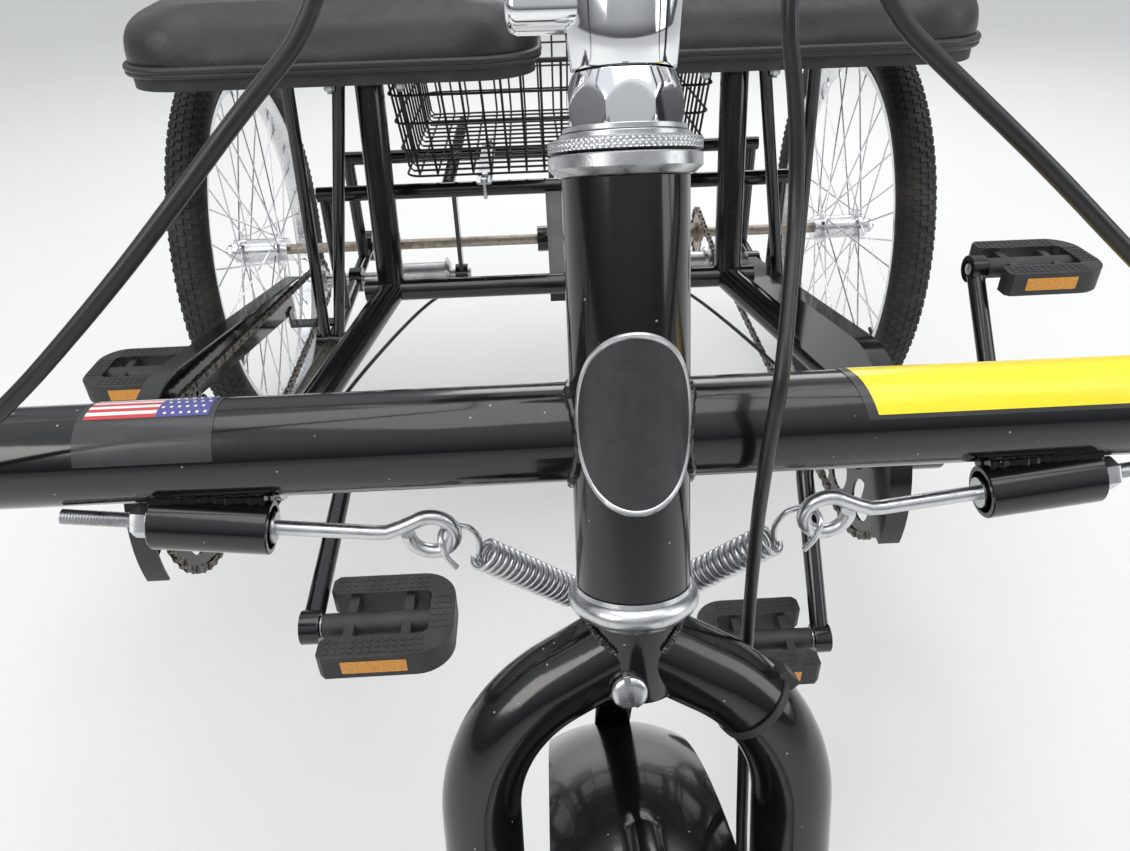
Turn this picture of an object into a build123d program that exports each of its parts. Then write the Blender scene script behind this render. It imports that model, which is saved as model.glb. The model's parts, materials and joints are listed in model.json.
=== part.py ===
from build123d import *
import math
import os

os.makedirs("parts", exist_ok=True)

# Side-by-side two-seat pedal tricycle. Millimetres, +Z up, the vehicle faces -Y.
# Its own left side is +X. The ground is Z = 0 and the box round it is centred on X and Y.

# Driving sizes
FRONT_R = 257.0
REAR_R = 305.0
WHEELBASE = 1228.0
REAR_AXLE_Y = (WHEELBASE + FRONT_R - REAR_R) / 2.0
FRONT_AXLE_Y = REAR_AXLE_Y - WHEELBASE
TYRE_W = 50.0
WELD_GAP = 0.3
RUN_GAP = 0.5

# Steering axis and head
HEAD_LEAN = 18.3
FORK_RAKE = 42.0
CROWN_OVER_TYRE = 98.0
FORK_DROP = FRONT_R + CROWN_OVER_TYRE
HEAD_LEN = 137.0
HEAD_R = 19.05
HEAD_BORE_R = 15.5
STEERER_R = 12.7
LOWER_CUP_R = 22.6
LOWER_CUP_H = 13.0
UPPER_CUP_R = 22.7
UPPER_CUP_H = 6.0
KNURL_H = 3.8
WASHER_R = 17.5
WASHER_H = 3.4
LOCKNUT_AF = 30.4
LOCKNUT_H = 14.6
LOCKNUT_TOP_R = 13.9
CROWN_R = 17.5
CROWN_H = 30.0
CROWN_CHAMFER = 6.0
LEG_R = 14.3
LEG_X = 56.5
LEG_ARCH_R = 54.0
LEG_ARCH_DROP = 14.0
LEG_TIP_R = 9.0
CROSSBAR_R = 15.9
CROSSBAR_HALF = 330.0
CROSSBAR_UP = 59.0

# Handlebar
BAR_BACK = 45.0
BAR_UP = 218.0
BAR_R = 11.1
SLEEVE_R = 17.0
SLEEVE_LEN = 164.0
GRIP_R = 16.0
GRIP_LEN = 125.0
OUTER_GRIP_X = 520.0
INNER_GRIP_X = 84.0

# Pedalling units: the bottom brackets stand at +-BB_X, both chainrings on the riders' right
BB_X = 305.0
BB_Y = -70.0
BB_Z = 335.0
BB_R = 22.0
BB_HALF = 34.0
CHAINRING_OFF = -42.0
ARM_OFF = 92.5
ARM_LEN = 170.0
ARM_R = 8.0
ARM_BEND = 24.0
ARM_EYE_R = 13.0
ARM_EYE_T = 14.0
CRANK_ANGLE = {"left": 228.0, "right": 7.0}
PEDAL_W = 98.0
PEDAL_L = 84.0
PEDAL_T = 24.0
PEDAL_GAP = 5.0
PEDAL_PIN_R = 6.0
CHAIN_PITCH = 12.7
RING_TEETH = 40
COG_TEETH = 14
AXLE_COG = 18
CHAIN_W = 8.0
CHAIN_H = 4.4
DOWN_TUBE_R = 15.9
DOWN_TUBE_END_Z = 352.0
MAIN_TUBE_R = 16.0
MAIN_FOOT_X = {"left": 318.0, "right": 285.0}
STAY_R = 9.0

# Rear structure
CROSS_Y = 245.0
CROSS_Z = 377.0
CROSS_R = 12.5
CROSS_HALF = 236.0
FOOT_X = 300.0
FOOT_Y = 285.0
FOOT_Z = 290.0
FOOT_R = 13.0
STAY_X = 297.0
POST_X = 205.0
POST_R = 15.9
POST_LEAN = 12.0
STRUT_R = 7.0
STRUT_Y = 275.0
STRUT_X = ((233.5, 292.0), (290.0, 308.0))
SEAT_Z = 614.0
SEAT_W = 450.0
SEAT_X = {"left": SEAT_W / 2.0 + 21.0, "right": SEAT_W / 2.0 + 11.0}
SEAT_D = 310.0
SEAT_FRONT_Y = 223.0
PAN_T = 14.0
CUSHION_T = 64.0
HUB_Y = 470.0
HUB_Z = 298.0
HUB_INNER_X = 140.0
HUB_SHAFT_R = 10.0
OUTPUT_X = {"left": 235.0, "right": -255.0}
BAR2_R = 9.5
CARRIER_Z = 457.0
CARRIER_Y = (375.0, 542.0)
CARRIER_HALF = 307.0
RAIL_X = 140.0
BASKET_W = 384.0
BASKET_TOP_W = 412.0
BASKET_D = 350.0
BASKET_H = 138.0
BASKET_Y = 395.0
WIRE_T = 3.2
AXLE_R = 8.0
WHEEL_X = 467.0
REAR_HUB_R = 18.0
REAR_HUB_HALF = 42.5

SIDES = ("left", "right")
SIGN = {"left": 1.0, "right": -1.0}

LEAN_S = math.sin(math.radians(HEAD_LEAN))
LEAN_C = math.cos(math.radians(HEAD_LEAN))
STEER_DIR = Vector(0, LEAN_S, LEAN_C)
HEAD_FOOT = Vector(
    0,
    FRONT_AXLE_Y + FORK_RAKE * LEAN_C + FORK_DROP * LEAN_S,
    FRONT_R - FORK_RAKE * LEAN_S + FORK_DROP * LEAN_C,
)
STEER = Plane(origin=HEAD_FOOT, x_dir=(1, 0, 0), z_dir=STEER_DIR)
STEER_BACK = Vector(0, LEAN_C, -LEAN_S)
LOW = (Align.CENTER, Align.CENTER, Align.MIN)


def save(node, shape):
    export_step(shape, "parts/" + node + ".step")


def at_steer(x, back, up):
    """World point given across, rearward and up along the steering axis."""
    return HEAD_FOOT + Vector(x, 0, 0) + STEER_BACK * back + STEER_DIR * up


def rod(start, end, radius, bore=0.0):
    a = Vector(start)
    b = Vector(end)
    plane = Plane(origin=a, z_dir=(b - a).normalized())
    solid = plane * Cylinder(radius, (b - a).length, align=LOW)
    if bore > 0:
        solid -= plane * Cylinder(bore, (b - a).length, align=LOW)
    return solid


def cone(start, end, radius_a, radius_b):
    a = Vector(start)
    b = Vector(end)
    plane = Plane(origin=a, z_dir=(b - a).normalized())
    return plane * Cone(radius_a, radius_b, (b - a).length, align=LOW)


def bent(points, radius, bend):
    """Round bar along straight runs joined by tangent arcs."""
    path = FilletPolyline(*points, radius=bend)
    start = Plane(origin=path @ 0, z_dir=path % 0)
    return sweep(start * Circle(radius), path=path)


def block(low, high):
    size = [high[i] - low[i] for i in range(3)]
    centre = [(high[i] + low[i]) / 2.0 for i in range(3)]
    return Pos(*centre) * Box(*size)


def belt_face(x, c1, r1, c2, r2):
    """Outline of a belt round two pulleys, in the plane at this X."""
    dy = c2[0] - c1[0]
    dz = c2[1] - c1[1]
    dist = math.hypot(dy, dz)
    base = math.atan2(dz, dy)
    open_angle = math.acos((r1 - r2) / dist)

    def on(c, r, angle):
        return (x, c[0] + r * math.cos(angle), c[1] + r * math.sin(angle))

    up = base + open_angle
    down = base - open_angle
    lines = [
        Line(on(c1, r1, up), on(c2, r2, up)),
        ThreePointArc(on(c2, r2, up), on(c2, r2, base), on(c2, r2, down)),
        Line(on(c2, r2, down), on(c1, r1, down)),
        ThreePointArc(on(c1, r1, down), on(c1, r1, base + math.pi), on(c1, r1, up)),
    ]
    return Face(Wire(lines))


def belt(x, width, c1, r1, c2, r2):
    return extrude(belt_face(x - width / 2.0, c1, r1, c2, r2), width, dir=(1, 0, 0))


def pitch_r(teeth):
    return CHAIN_PITCH / (2.0 * math.sin(math.pi / teeth))


def toothed(x, width, y, z, teeth, bore):
    """Sprocket plate, its teeth cut as shallow trapezoids."""
    r = pitch_r(teeth)
    points = []
    for i in range(teeth):
        for part, radius in ((0.0, r - 3.2), (0.28, r - 3.2), (0.44, r + 1.6), (0.84, r + 1.6)):
            angle = 2.0 * math.pi * (i + part) / teeth
            points.append((y + radius * math.cos(angle), z + radius * math.sin(angle)))
    face = Plane.YZ.offset(x - width / 2.0) * make_face(Polyline(*points, close=True))
    solid = extrude(face, width, dir=(1, 0, 0))
    return solid - rod((x - width, y, z), (x + width, y, z), bore)


# Head tube and bearings
head_cut = STEER * (Pos(0, 0, -30) * Cylinder(HEAD_R + WELD_GAP, HEAD_LEN + 60, align=LOW))
head_tube = STEER * Cylinder(HEAD_R, HEAD_LEN, align=LOW)
head_tube -= STEER * Cylinder(HEAD_BORE_R, HEAD_LEN, align=LOW)
save("head_tube", head_tube)

CUP_BORE_R = STEERER_R + 1.3
lower_profile = (
    # radius, height on the steering axis
    (CUP_BORE_R, 0.0),
    (LOWER_CUP_R - 2.8, 0.0),
    (LOWER_CUP_R - 2.2, -1.8),
    (LOWER_CUP_R - 0.8, -3.6),
    (LOWER_CUP_R, -6.2),
    (LOWER_CUP_R - 0.8, -8.8),
    (LOWER_CUP_R - 3.2, -10.8),
    (LOWER_CUP_R - 4.4, -LOWER_CUP_H),
    (CUP_BORE_R, -LOWER_CUP_H),
)
upper_profile = (
    (CUP_BORE_R, HEAD_LEN),
    (UPPER_CUP_R - 2.8, HEAD_LEN),
    (UPPER_CUP_R - 2.2, HEAD_LEN + 0.4),
    (UPPER_CUP_R, HEAD_LEN + 2.2),
    (UPPER_CUP_R, HEAD_LEN + UPPER_CUP_H),
    (CUP_BORE_R, HEAD_LEN + UPPER_CUP_H),
)


def turned(profile):
    """Solid turned from (radius, height) rows round the Z axis."""
    return revolve(make_face(Plane.XZ * Polyline(*profile, close=True)), Axis.Z)


save("headset_cups", STEER * Compound([turned(lower_profile), turned(upper_profile)]))

# Crossbar halves, coped to the head tube, each with the bracket of its centring spring
BRACKET_X = 142.0
BRACKET_LEN = 40.0
BRACKET_R = 9.0
BRACKET_DROP = 24.3
BRACKET_FRONT = 6.0
BOLT_R = 2.5
BOLT_TILT = math.tan(math.radians(7.7))
EYE_X = 67.0
BOLT_END_X = 186.0
cross_at = at_steer(0, 0, CROSSBAR_UP)


def bolt_point(side, x):
    """Point on the axis of one eye bolt, which drops towards the head tube."""
    return cross_at + Vector(SIGN[side] * x, -BRACKET_FRONT, (x - BRACKET_X) * BOLT_TILT - BRACKET_DROP)


for side in SIDES:
    s = SIGN[side]
    end = cross_at + Vector(s * CROSSBAR_HALF, 0, 0)
    half = rod(cross_at + Vector(s * 2.0, 0, 0), end, CROSSBAR_R) - head_cut
    half += rod(bolt_point(side, BRACKET_X - BRACKET_LEN / 2), bolt_point(side, BRACKET_X + BRACKET_LEN / 2), BRACKET_R)
    half -= rod(bolt_point(side, EYE_X), bolt_point(side, BOLT_END_X), BOLT_R + WELD_GAP)
    save("crossbar_" + side, half)

# Eye bolts through the brackets, with their nuts, and the centring springs
NUT_AF = 8.0
NUT_T = 5.0
EYE_R = 7.6
TAB_BACK = 43.0
TAB_UP = -25.0
SPRING_R = 7.0
SPRING_WIRE = 2.0
bolts = []
for side in SIDES:
    s = SIGN[side]
    eye_at = bolt_point(side, EYE_X)
    bolt = rod(bolt_point(side, EYE_X + 6), bolt_point(side, BOLT_END_X), BOLT_R)
    bolt += Plane(origin=eye_at, z_dir=(0, 1, 0)) * Torus(EYE_R, BOLT_R)
    nut_at = bolt_point(side, BRACKET_X + BRACKET_LEN / 2 + WELD_GAP)
    out_dir = (bolt_point(side, BOLT_END_X) - nut_at).normalized()
    bolt += Plane(origin=nut_at, z_dir=out_dir) * extrude(RegularPolygon(NUT_AF / 2, 6, major_radius=False), NUT_T)
    bolts.append(bolt)
save("eye_bolts", Compound(bolts))

spring_foot = at_steer(0, TAB_BACK, TAB_UP)
for side in SIDES:
    s = SIGN[side]
    eye_at = bolt_point(side, EYE_X)
    top = eye_at + Vector(-s * 15.5, 8.1, -18.6)
    foot = spring_foot + Vector(s * 16, 0, 6)
    along = (foot - top).normalized()
    hook_end = eye_at + Vector(-s * 0.64, 0, -0.77).normalized() * (EYE_R + BOLT_R + RUN_GAP)
    spring = rod(top, foot, SPRING_R, SPRING_R - SPRING_WIRE)
    spring += rod(top - along * 2, top + along * 4, SPRING_R - 1)
    spring += rod(foot - along * 5, foot, SPRING_R - 1)
    spring += rod(top, hook_end, SPRING_WIRE / 2)
    spring += rod(foot - along * 4, at_steer(s * 9, TAB_BACK - 2, TAB_UP + 3.9), SPRING_WIRE / 2)
    save("centering_spring_" + side, spring)

# Lower cross tube, then each unit's down tube, main tube with its shell, and chain stay
cross_cut = rod(cross_at - Vector(400, 0, 0), cross_at + Vector(400, 0, 0), CROSSBAR_R + WELD_GAP)
save("lower_cross_tube", rod((-CROSS_HALF, CROSS_Y, CROSS_Z), (CROSS_HALF, CROSS_Y, CROSS_Z), CROSS_R))
lower_cross_cut = rod((-400, CROSS_Y, CROSS_Z), (400, CROSS_Y, CROSS_Z), CROSS_R + WELD_GAP)
SPINDLE_BORE = ARM_R + RUN_GAP


def biggest(shape):
    return shape.solids().sort_by(SortBy.VOLUME)[-1]


for side in SIDES:
    s = SIGN[side]
    xb = s * BB_X
    shell_a = (xb - BB_HALF, BB_Y, BB_Z)
    shell_b = (xb + BB_HALF, BB_Y, BB_Z)
    shell_cut = rod(shell_a, shell_b, BB_R + WELD_GAP)

    down = rod((xb, cross_at.Y, cross_at.Z), (xb, BB_Y, DOWN_TUBE_END_Z), DOWN_TUBE_R)
    down = down - cross_cut - shell_cut
    save("down_tube_" + side, biggest(down))

    main_a = (s * MAIN_FOOT_X[side], BB_Y, BB_Z + 3)
    main_b = (s * POST_X, CROSS_Y, CROSS_Z)
    main = rod(main_a, main_b, MAIN_TUBE_R) - lower_cross_cut
    main = biggest(main) + rod(shell_a, shell_b, BB_R)
    main -= rod(main_a, (main_a[0], BB_Y - 60, DOWN_TUBE_END_Z + 43), MAIN_TUBE_R)
    main += rod(shell_a, shell_b, BB_R)
    main -= rod((xb - 80, BB_Y, BB_Z), (xb + 80, BB_Y, BB_Z), SPINDLE_BORE)
    down_cut = rod((xb, cross_at.Y, cross_at.Z), (xb, BB_Y, DOWN_TUBE_END_Z), DOWN_TUBE_R + WELD_GAP)
    main = biggest(main - (down_cut - shell_cut))
    save("main_tube_" + side, main)

    foot = (s * FOOT_X, FOOT_Y, FOOT_Z)
    foot_cut = rod((s * (FOOT_X - 40), FOOT_Y, FOOT_Z), (s * (FOOT_X + 40), FOOT_Y, FOOT_Z), FOOT_R + WELD_GAP)
    stay = rod((xb, BB_Y, BB_Z - 12), foot, STAY_R)
    stay -= shell_cut
    stay -= rod(main_a, main_b, MAIN_TUBE_R + WELD_GAP)
    stay -= foot_cut
    save("chain_stay_" + side, biggest(stay))

# Seat posts, seat pans, cushions and the two struts down to each stay's lug
POST_S = math.sin(math.radians(POST_LEAN))
POST_C = math.cos(math.radians(POST_LEAN))
above_seat = block((-700, 0, SEAT_Z), (700, 700, SEAT_Z + 100))
struts = []
pans = []
for side in SIDES:
    s = SIGN[side]
    rise = (SEAT_Z - CROSS_Z) / POST_C
    base = Vector(s * POST_X, CROSS_Y, CROSS_Z)
    post = rod(base, base + Vector(0, POST_S, POST_C) * (rise + 20), POST_R)
    post -= lower_cross_cut
    post = post.solids().sort_by(Axis.Z)[-1] - above_seat
    main_a = (s * MAIN_FOOT_X[side], BB_Y, BB_Z + 3)
    post -= rod(main_a, (s * POST_X, CROSS_Y, CROSS_Z), MAIN_TUBE_R + WELD_GAP)
    save("seat_post_" + side, biggest(post))

    seat_mid_y = SEAT_FRONT_Y + SEAT_D / 2.0
    pans.append(Pos(s * SEAT_X[side], seat_mid_y, SEAT_Z) * extrude(RectangleRounded(SEAT_W - 16, SEAT_D - 16, 60), PAN_T))
    cushion = extrude(RectangleRounded(SEAT_W, SEAT_D, 66), CUSHION_T)
    cushion = fillet(cushion.faces().sort_by(Axis.Z)[-1].edges(), 24)
    save("seat_cushion_" + side, Pos(s * SEAT_X[side], seat_mid_y, SEAT_Z + PAN_T) * cushion)

    foot_cut = rod((s * (FOOT_X - 40), FOOT_Y, FOOT_Z), (s * (FOOT_X + 40), FOOT_Y, FOOT_Z), FOOT_R + WELD_GAP)
    for top_x, low_x in STRUT_X:
        low = Vector(s * low_x, FOOT_Y, FOOT_Z)
        top = Vector(s * top_x, STRUT_Y, SEAT_Z)
        strut = rod(low, top + (top - low).normalized() * 8, STRUT_R) - foot_cut - above_seat
        struts.append(strut.solids().sort_by(Axis.Z)[-1])
save("seat_struts", Compound(struts))
save("seat_pans", Compound(pans))

# Axle stays: lug, bar, the mid hub's outer bearing and the axle's bearing
BEARING_HALF = 9.0
for side in SIDES:
    s = SIGN[side]
    x = s * STAY_X
    foot = (s * FOOT_X, FOOT_Y, FOOT_Z)
    stay = rod(foot, (x, REAR_AXLE_Y, REAR_R), STAY_R)
    stay += rod((s * (FOOT_X - 18), FOOT_Y, FOOT_Z), (s * (FOOT_X + 18), FOOT_Y, FOOT_Z), FOOT_R)
    stay += rod((x - BEARING_HALF, REAR_AXLE_Y, REAR_R), (x + BEARING_HALF, REAR_AXLE_Y, REAR_R), 24)
    stay += rod((x - BEARING_HALF, HUB_Y, HUB_Z), (x + BEARING_HALF, HUB_Y, HUB_Z), 18)
    stay -= rod((x - 30, REAR_AXLE_Y, REAR_R), (x + 30, REAR_AXLE_Y, REAR_R), AXLE_R + RUN_GAP)
    stay -= rod((x - 30, HUB_Y, HUB_Z), (x + 30, HUB_Y, HUB_Z), HUB_SHAFT_R + RUN_GAP)
    save("axle_stay_" + side, stay)

# Mid hubs: a shaft with barrel, input and output sprockets
input_x = {side: SIGN[side] * BB_X + CHAINRING_OFF for side in SIDES}
for side in SIDES:
    s = SIGN[side]
    inner_end = s * (HUB_INNER_X - BEARING_HALF - 4)
    outer_end = s * max(STAY_X + BEARING_HALF + 4, abs(input_x[side]) + 6)
    hub = rod((inner_end, HUB_Y, HUB_Z), (outer_end, HUB_Y, HUB_Z), HUB_SHAFT_R)
    barrel_a = s * (HUB_INNER_X + BEARING_HALF + 8)
    barrel_b = OUTPUT_X[side] - s * 6
    hub += rod((barrel_a, HUB_Y, HUB_Z), (barrel_b, HUB_Y, HUB_Z), 21.0)
    hub += rod((barrel_a + s * 3, HUB_Y, HUB_Z), (barrel_a + s * 6, HUB_Y, HUB_Z), 27.0)
    hub += rod((barrel_b - s * 6, HUB_Y, HUB_Z), (barrel_b - s * 3, HUB_Y, HUB_Z), 27.0)
    hub += rod((barrel_b, HUB_Y, HUB_Z), (OUTPUT_X[side] + s * 6, HUB_Y, HUB_Z), 15.0)
    hub += toothed(OUTPUT_X[side], 2.2, HUB_Y, HUB_Z, COG_TEETH, HUB_SHAFT_R - 1)
    hub += rod((input_x[side] - 6, HUB_Y, HUB_Z), (input_x[side] + 6, HUB_Y, HUB_Z), 15.0)
    hub += toothed(input_x[side], 2.2, HUB_Y, HUB_Z, COG_TEETH, HUB_SHAFT_R - 1)
    save("mid_hub_" + side, hub)


# Chains, each an inward-open channel so the teeth run free in it
def chain(x, c1, r1, c2, r2):
    loop = belt(x, CHAIN_W, c1, r1 + CHAIN_H, c2, r2 + CHAIN_H)
    loop -= belt(x, CHAIN_W + 2, c1, r1 - CHAIN_H, c2, r2 - CHAIN_H)
    loop -= belt(x, 3.8, c1, r1 + 2.4, c2, r2 + 2.4)
    return loop


ring_r = pitch_r(RING_TEETH)
cog_r = pitch_r(COG_TEETH)
axle_cog_r = pitch_r(AXLE_COG)
for side in SIDES:
    save("drive_chain_" + side, chain(input_x[side], (BB_Y, BB_Z), ring_r, (HUB_Y, HUB_Z), cog_r))
    save("axle_chain_" + side, chain(OUTPUT_X[side], (REAR_AXLE_Y, REAR_R), axle_cog_r, (HUB_Y, HUB_Z), cog_r))

# Chain guards: a flat hooked plate and a lip over the chain, on the riders' right of it
GUARD_OFF = 12.0
GUARD_T = 2.0
GUARD_LIP = 18.0
GUARD_R = 109.0
GUARD_INNER_R = 60.0
GUARD_SLOPE = 0.21
GUARD_REAR_Y = 345.0
GUARD_FRONT_DEG = 192.0
GUARD_NOTCH = 3.0
TAB_FROM_Y = 312.0
TAB_TO_Y = 330.0
TAB_T = 3.0
TAB_Z = FOOT_Z + (REAR_R - FOOT_Z) * (TAB_TO_Y - FOOT_Y) / (REAR_AXLE_Y - FOOT_Y) + STAY_R - 1.4
guard_top_deg = math.degrees(math.atan2(1.0, GUARD_SLOPE))


def guard_point(radius, degrees):
    angle = math.radians(degrees)
    return (BB_Y + radius * math.cos(angle), BB_Z + radius * math.sin(angle))


def guard_rear(radius):
    y, z = guard_point(radius, guard_top_deg)
    return (GUARD_REAR_Y, z - GUARD_SLOPE * (GUARD_REAR_Y - y))


def guard_face(outer_r, inner_r):
    """Hooked band: straight along the upper run, then round the front of the ring."""
    mid = (guard_top_deg + GUARD_FRONT_DEG) / 2.0
    with BuildSketch() as sketch:
        with BuildLine():
            Line(guard_rear(outer_r), guard_point(outer_r, guard_top_deg))
            ThreePointArc(
                guard_point(outer_r, guard_top_deg),
                guard_point(outer_r, mid),
                guard_point(outer_r, GUARD_FRONT_DEG),
            )
            Line(guard_point(outer_r, GUARD_FRONT_DEG), guard_point(inner_r, GUARD_FRONT_DEG))
            ThreePointArc(
                guard_point(inner_r, GUARD_FRONT_DEG),
                guard_point(inner_r, mid),
                guard_point(inner_r, guard_top_deg),
            )
            Line(guard_point(inner_r, guard_top_deg), guard_rear(inner_r))
            Line(guard_rear(inner_r), guard_rear(outer_r))
        make_face()
    return sketch.sketch


for side in SIDES:
    s = SIGN[side]
    x = input_x[side] - GUARD_OFF
    plate_x = x - GUARD_T
    guard = extrude(Plane.YZ.offset(plate_x) * guard_face(GUARD_R, GUARD_INNER_R), GUARD_T, dir=(1, 0, 0))
    guard += extrude(Plane.YZ.offset(plate_x) * guard_face(GUARD_R, GUARD_R - GUARD_T), GUARD_LIP, dir=(1, 0, 0))
    tab_x = sorted((x - 0.1, s * STAY_X))
    tab = block((tab_x[0], TAB_FROM_Y, TAB_Z), (tab_x[1], TAB_TO_Y, TAB_Z + TAB_T + 1))
    tab += block((x - 0.1, TAB_FROM_Y, TAB_Z), (x + TAB_T, TAB_TO_Y, guard_rear(GUARD_INNER_R)[1] + 14))
    tab -= rod((s * FOOT_X, FOOT_Y, FOOT_Z), (s * STAY_X, REAR_AXLE_Y, REAR_R), STAY_R + WELD_GAP)
    main_a = (s * MAIN_FOOT_X[side], BB_Y, BB_Z + 3)
    guard -= rod(main_a, (s * POST_X, CROSS_Y, CROSS_Z), MAIN_TUBE_R + GUARD_NOTCH)
    save("chain_guard_" + side, biggest(guard) + biggest(tab))

# Carrier, its legs on the stays, and the hangers
carrier = None
for y in CARRIER_Y:
    bar = rod((-CARRIER_HALF, y, CARRIER_Z), (CARRIER_HALF, y, CARRIER_Z), BAR2_R)
    carrier = bar if carrier is None else carrier + bar
for s in (1, -1):
    stay_a = Vector(s * FOOT_X, FOOT_Y, FOOT_Z)
    stay_b = Vector(s * STAY_X, REAR_AXLE_Y, REAR_R)
    for y in CARRIER_Y:
        t = (y - FOOT_Y) / (REAR_AXLE_Y - FOOT_Y)
        leg = rod(stay_a + (stay_b - stay_a) * t, (s * STAY_X, y, CARRIER_Z), BAR2_R - 1.0)
        leg -= rod(stay_a, stay_b, STAY_R + WELD_GAP)
        carrier += leg.solids().sort_by(Axis.Z)[-1]
    rail_end = (s * RAIL_X, BASKET_Y + BASKET_D - 10, CARRIER_Z)
    carrier += rod((s * RAIL_X, CARRIER_Y[0], CARRIER_Z), rail_end, BAR2_R - 1.0)
save("carrier_frame", carrier)

carrier_cut = rod((-60, CARRIER_Y[0], CARRIER_Z), (60, CARRIER_Y[0], CARRIER_Z), BAR2_R + WELD_GAP)
carrier_cut += rod((-60, CARRIER_Y[1], CARRIER_Z), (60, CARRIER_Y[1], CARRIER_Z), BAR2_R + WELD_GAP)
strap_face = Plane.YZ.offset(-12.5) * make_face(
    Polyline(
        (CARRIER_Y[0] + 4, CARRIER_Z - 4),
        (CARRIER_Y[0] + 0, CARRIER_Z + 2),
        (CROSS_Y + CROSS_R + 1, CROSS_Z + 3),
        (CROSS_Y + CROSS_R + 1, CROSS_Z - 30),
        (CROSS_Y + CROSS_R + 6, CROSS_Z - 30),
        (CROSS_Y + CROSS_R + 6, CROSS_Z),
        close=True,
    )
)
strap = extrude(strap_face, 25.0, dir=(1, 0, 0)) - carrier_cut - lower_cross_cut
strap = strap.solids().sort_by(SortBy.VOLUME)[-1]
CENTRE_HALF = 25.0
hanger = rod((-CENTRE_HALF, REAR_AXLE_Y, REAR_R), (CENTRE_HALF, REAR_AXLE_Y, REAR_R), 20.0)
arm = Plane.YZ.offset(-4) * make_face(
    Polyline(
        (REAR_AXLE_Y - 17, REAR_R),
        (REAR_AXLE_Y + 17, REAR_R),
        (CARRIER_Y[1] + 16, CARRIER_Z),
        (CARRIER_Y[1] - 16, CARRIER_Z),
        close=True,
    )
)
hanger += extrude(arm, 8.0, dir=(1, 0, 0))
hanger -= rod((-30, REAR_AXLE_Y, REAR_R), (30, REAR_AXLE_Y, REAR_R), AXLE_R + RUN_GAP)
hanger -= carrier_cut
hangers = [strap, biggest(hanger)]
HANGER_RING_R = 17.0
for s in (1, -1):
    x = s * HUB_INNER_X
    ring = rod((x - BEARING_HALF, HUB_Y, HUB_Z), (x + BEARING_HALF, HUB_Y, HUB_Z), HANGER_RING_R)
    ring += block((x - 3, HUB_Y - 12, HUB_Z), (x + 3, HUB_Y + 12, CARRIER_Z - 4))
    ring -= rod((x - 30, HUB_Y, HUB_Z), (x + 30, HUB_Y, HUB_Z), HUB_SHAFT_R + RUN_GAP)
    ring -= rod((x, CARRIER_Y[0], CARRIER_Z), (x, CARRIER_Y[1], CARRIER_Z), BAR2_R - 1.0 + WELD_GAP)
    hangers.append(biggest(ring))
save("centre_hangers", Compound(hangers))

# Wire basket: four walls and a floor, each a flat grid
basket_z = CARRIER_Z + BAR2_R


def grid(origin, across, up, width_low, width_high, height, pitch, rows):
    """Flat wire grid, wider at the top; across and up are unit vectors."""
    o = Vector(origin)
    a = Vector(across)
    u = Vector(up)
    n = a.cross(u)
    plane = Plane(origin=o, x_dir=a, z_dir=n)
    count = max(2, int(round(width_low / pitch)))
    panel = None
    for i in range(count + 1):
        t = i / count - 0.5
        low = Vector(t * width_low, 0)
        high = Vector(t * width_high, height)
        mid = (low + high) * 0.5
        angle = math.degrees(math.atan2(high.X - low.X, height))
        piece = Pos(mid.X, mid.Y) * Rot(0, 0, -angle) * Rectangle(WIRE_T, (high - low).length)
        panel = piece if panel is None else panel + piece
    for j in range(rows + 1):
        v = j / rows
        width = width_low + (width_high - width_low) * v
        panel += Pos(0, v * height) * Rectangle(width + WIRE_T, WIRE_T)
    return extrude(plane * panel, WIRE_T / 2, both=True)


flare = (BASKET_TOP_W - BASKET_W) / 2.0
wall_len = math.hypot(flare, BASKET_H)
lean_out = flare / wall_len
lean_up = BASKET_H / wall_len
mid_y = BASKET_Y + BASKET_D / 2.0
edge = 4.0
panels = [
    grid((0, mid_y - BASKET_D / 2 + edge, basket_z + WIRE_T / 2), (1, 0, 0), (0, 1, 0),
         BASKET_W - 2 * edge, BASKET_W - 2 * edge, BASKET_D - 2 * edge, 26.0, 5),
]
for s in (1, -1):
    panels.append(
        grid((0, mid_y + s * BASKET_D / 2, basket_z + edge), (1, 0, 0), (0, s * lean_out, lean_up),
             BASKET_W - edge, BASKET_TOP_W - edge, wall_len, 26.0, 4)
    )
    panels.append(
        grid((s * BASKET_W / 2, mid_y, basket_z + edge), (0, 1, 0), (s * lean_out, 0, lean_up),
             BASKET_D - 2 * edge, BASKET_D - 2 * edge + 2 * flare, wall_len, 26.0, 4)
    )
save("basket", Compound(panels))

# Fork: crown with steerer and spring tab, then the two legs
crown_top = -LOWER_CUP_H - 1.0
crown = Pos(0, 0, crown_top - CROWN_H) * Cylinder(CROWN_R, CROWN_H, align=LOW)
crown = STEER * chamfer(crown.edges().group_by(Axis.Z)[0], CROWN_CHAMFER)
steerer_top = HEAD_LEN + UPPER_CUP_H + KNURL_H + WASHER_H + LOCKNUT_H + RUN_GAP
crown += STEER * (Pos(0, 0, crown_top) * Cylinder(STEERER_R, steerer_top - crown_top, align=LOW))
tab = STEER * (Pos(0, TAB_BACK - 13, TAB_UP) * Box(22, 34, 5))
crown += tab
save("fork_crown", crown)

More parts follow.
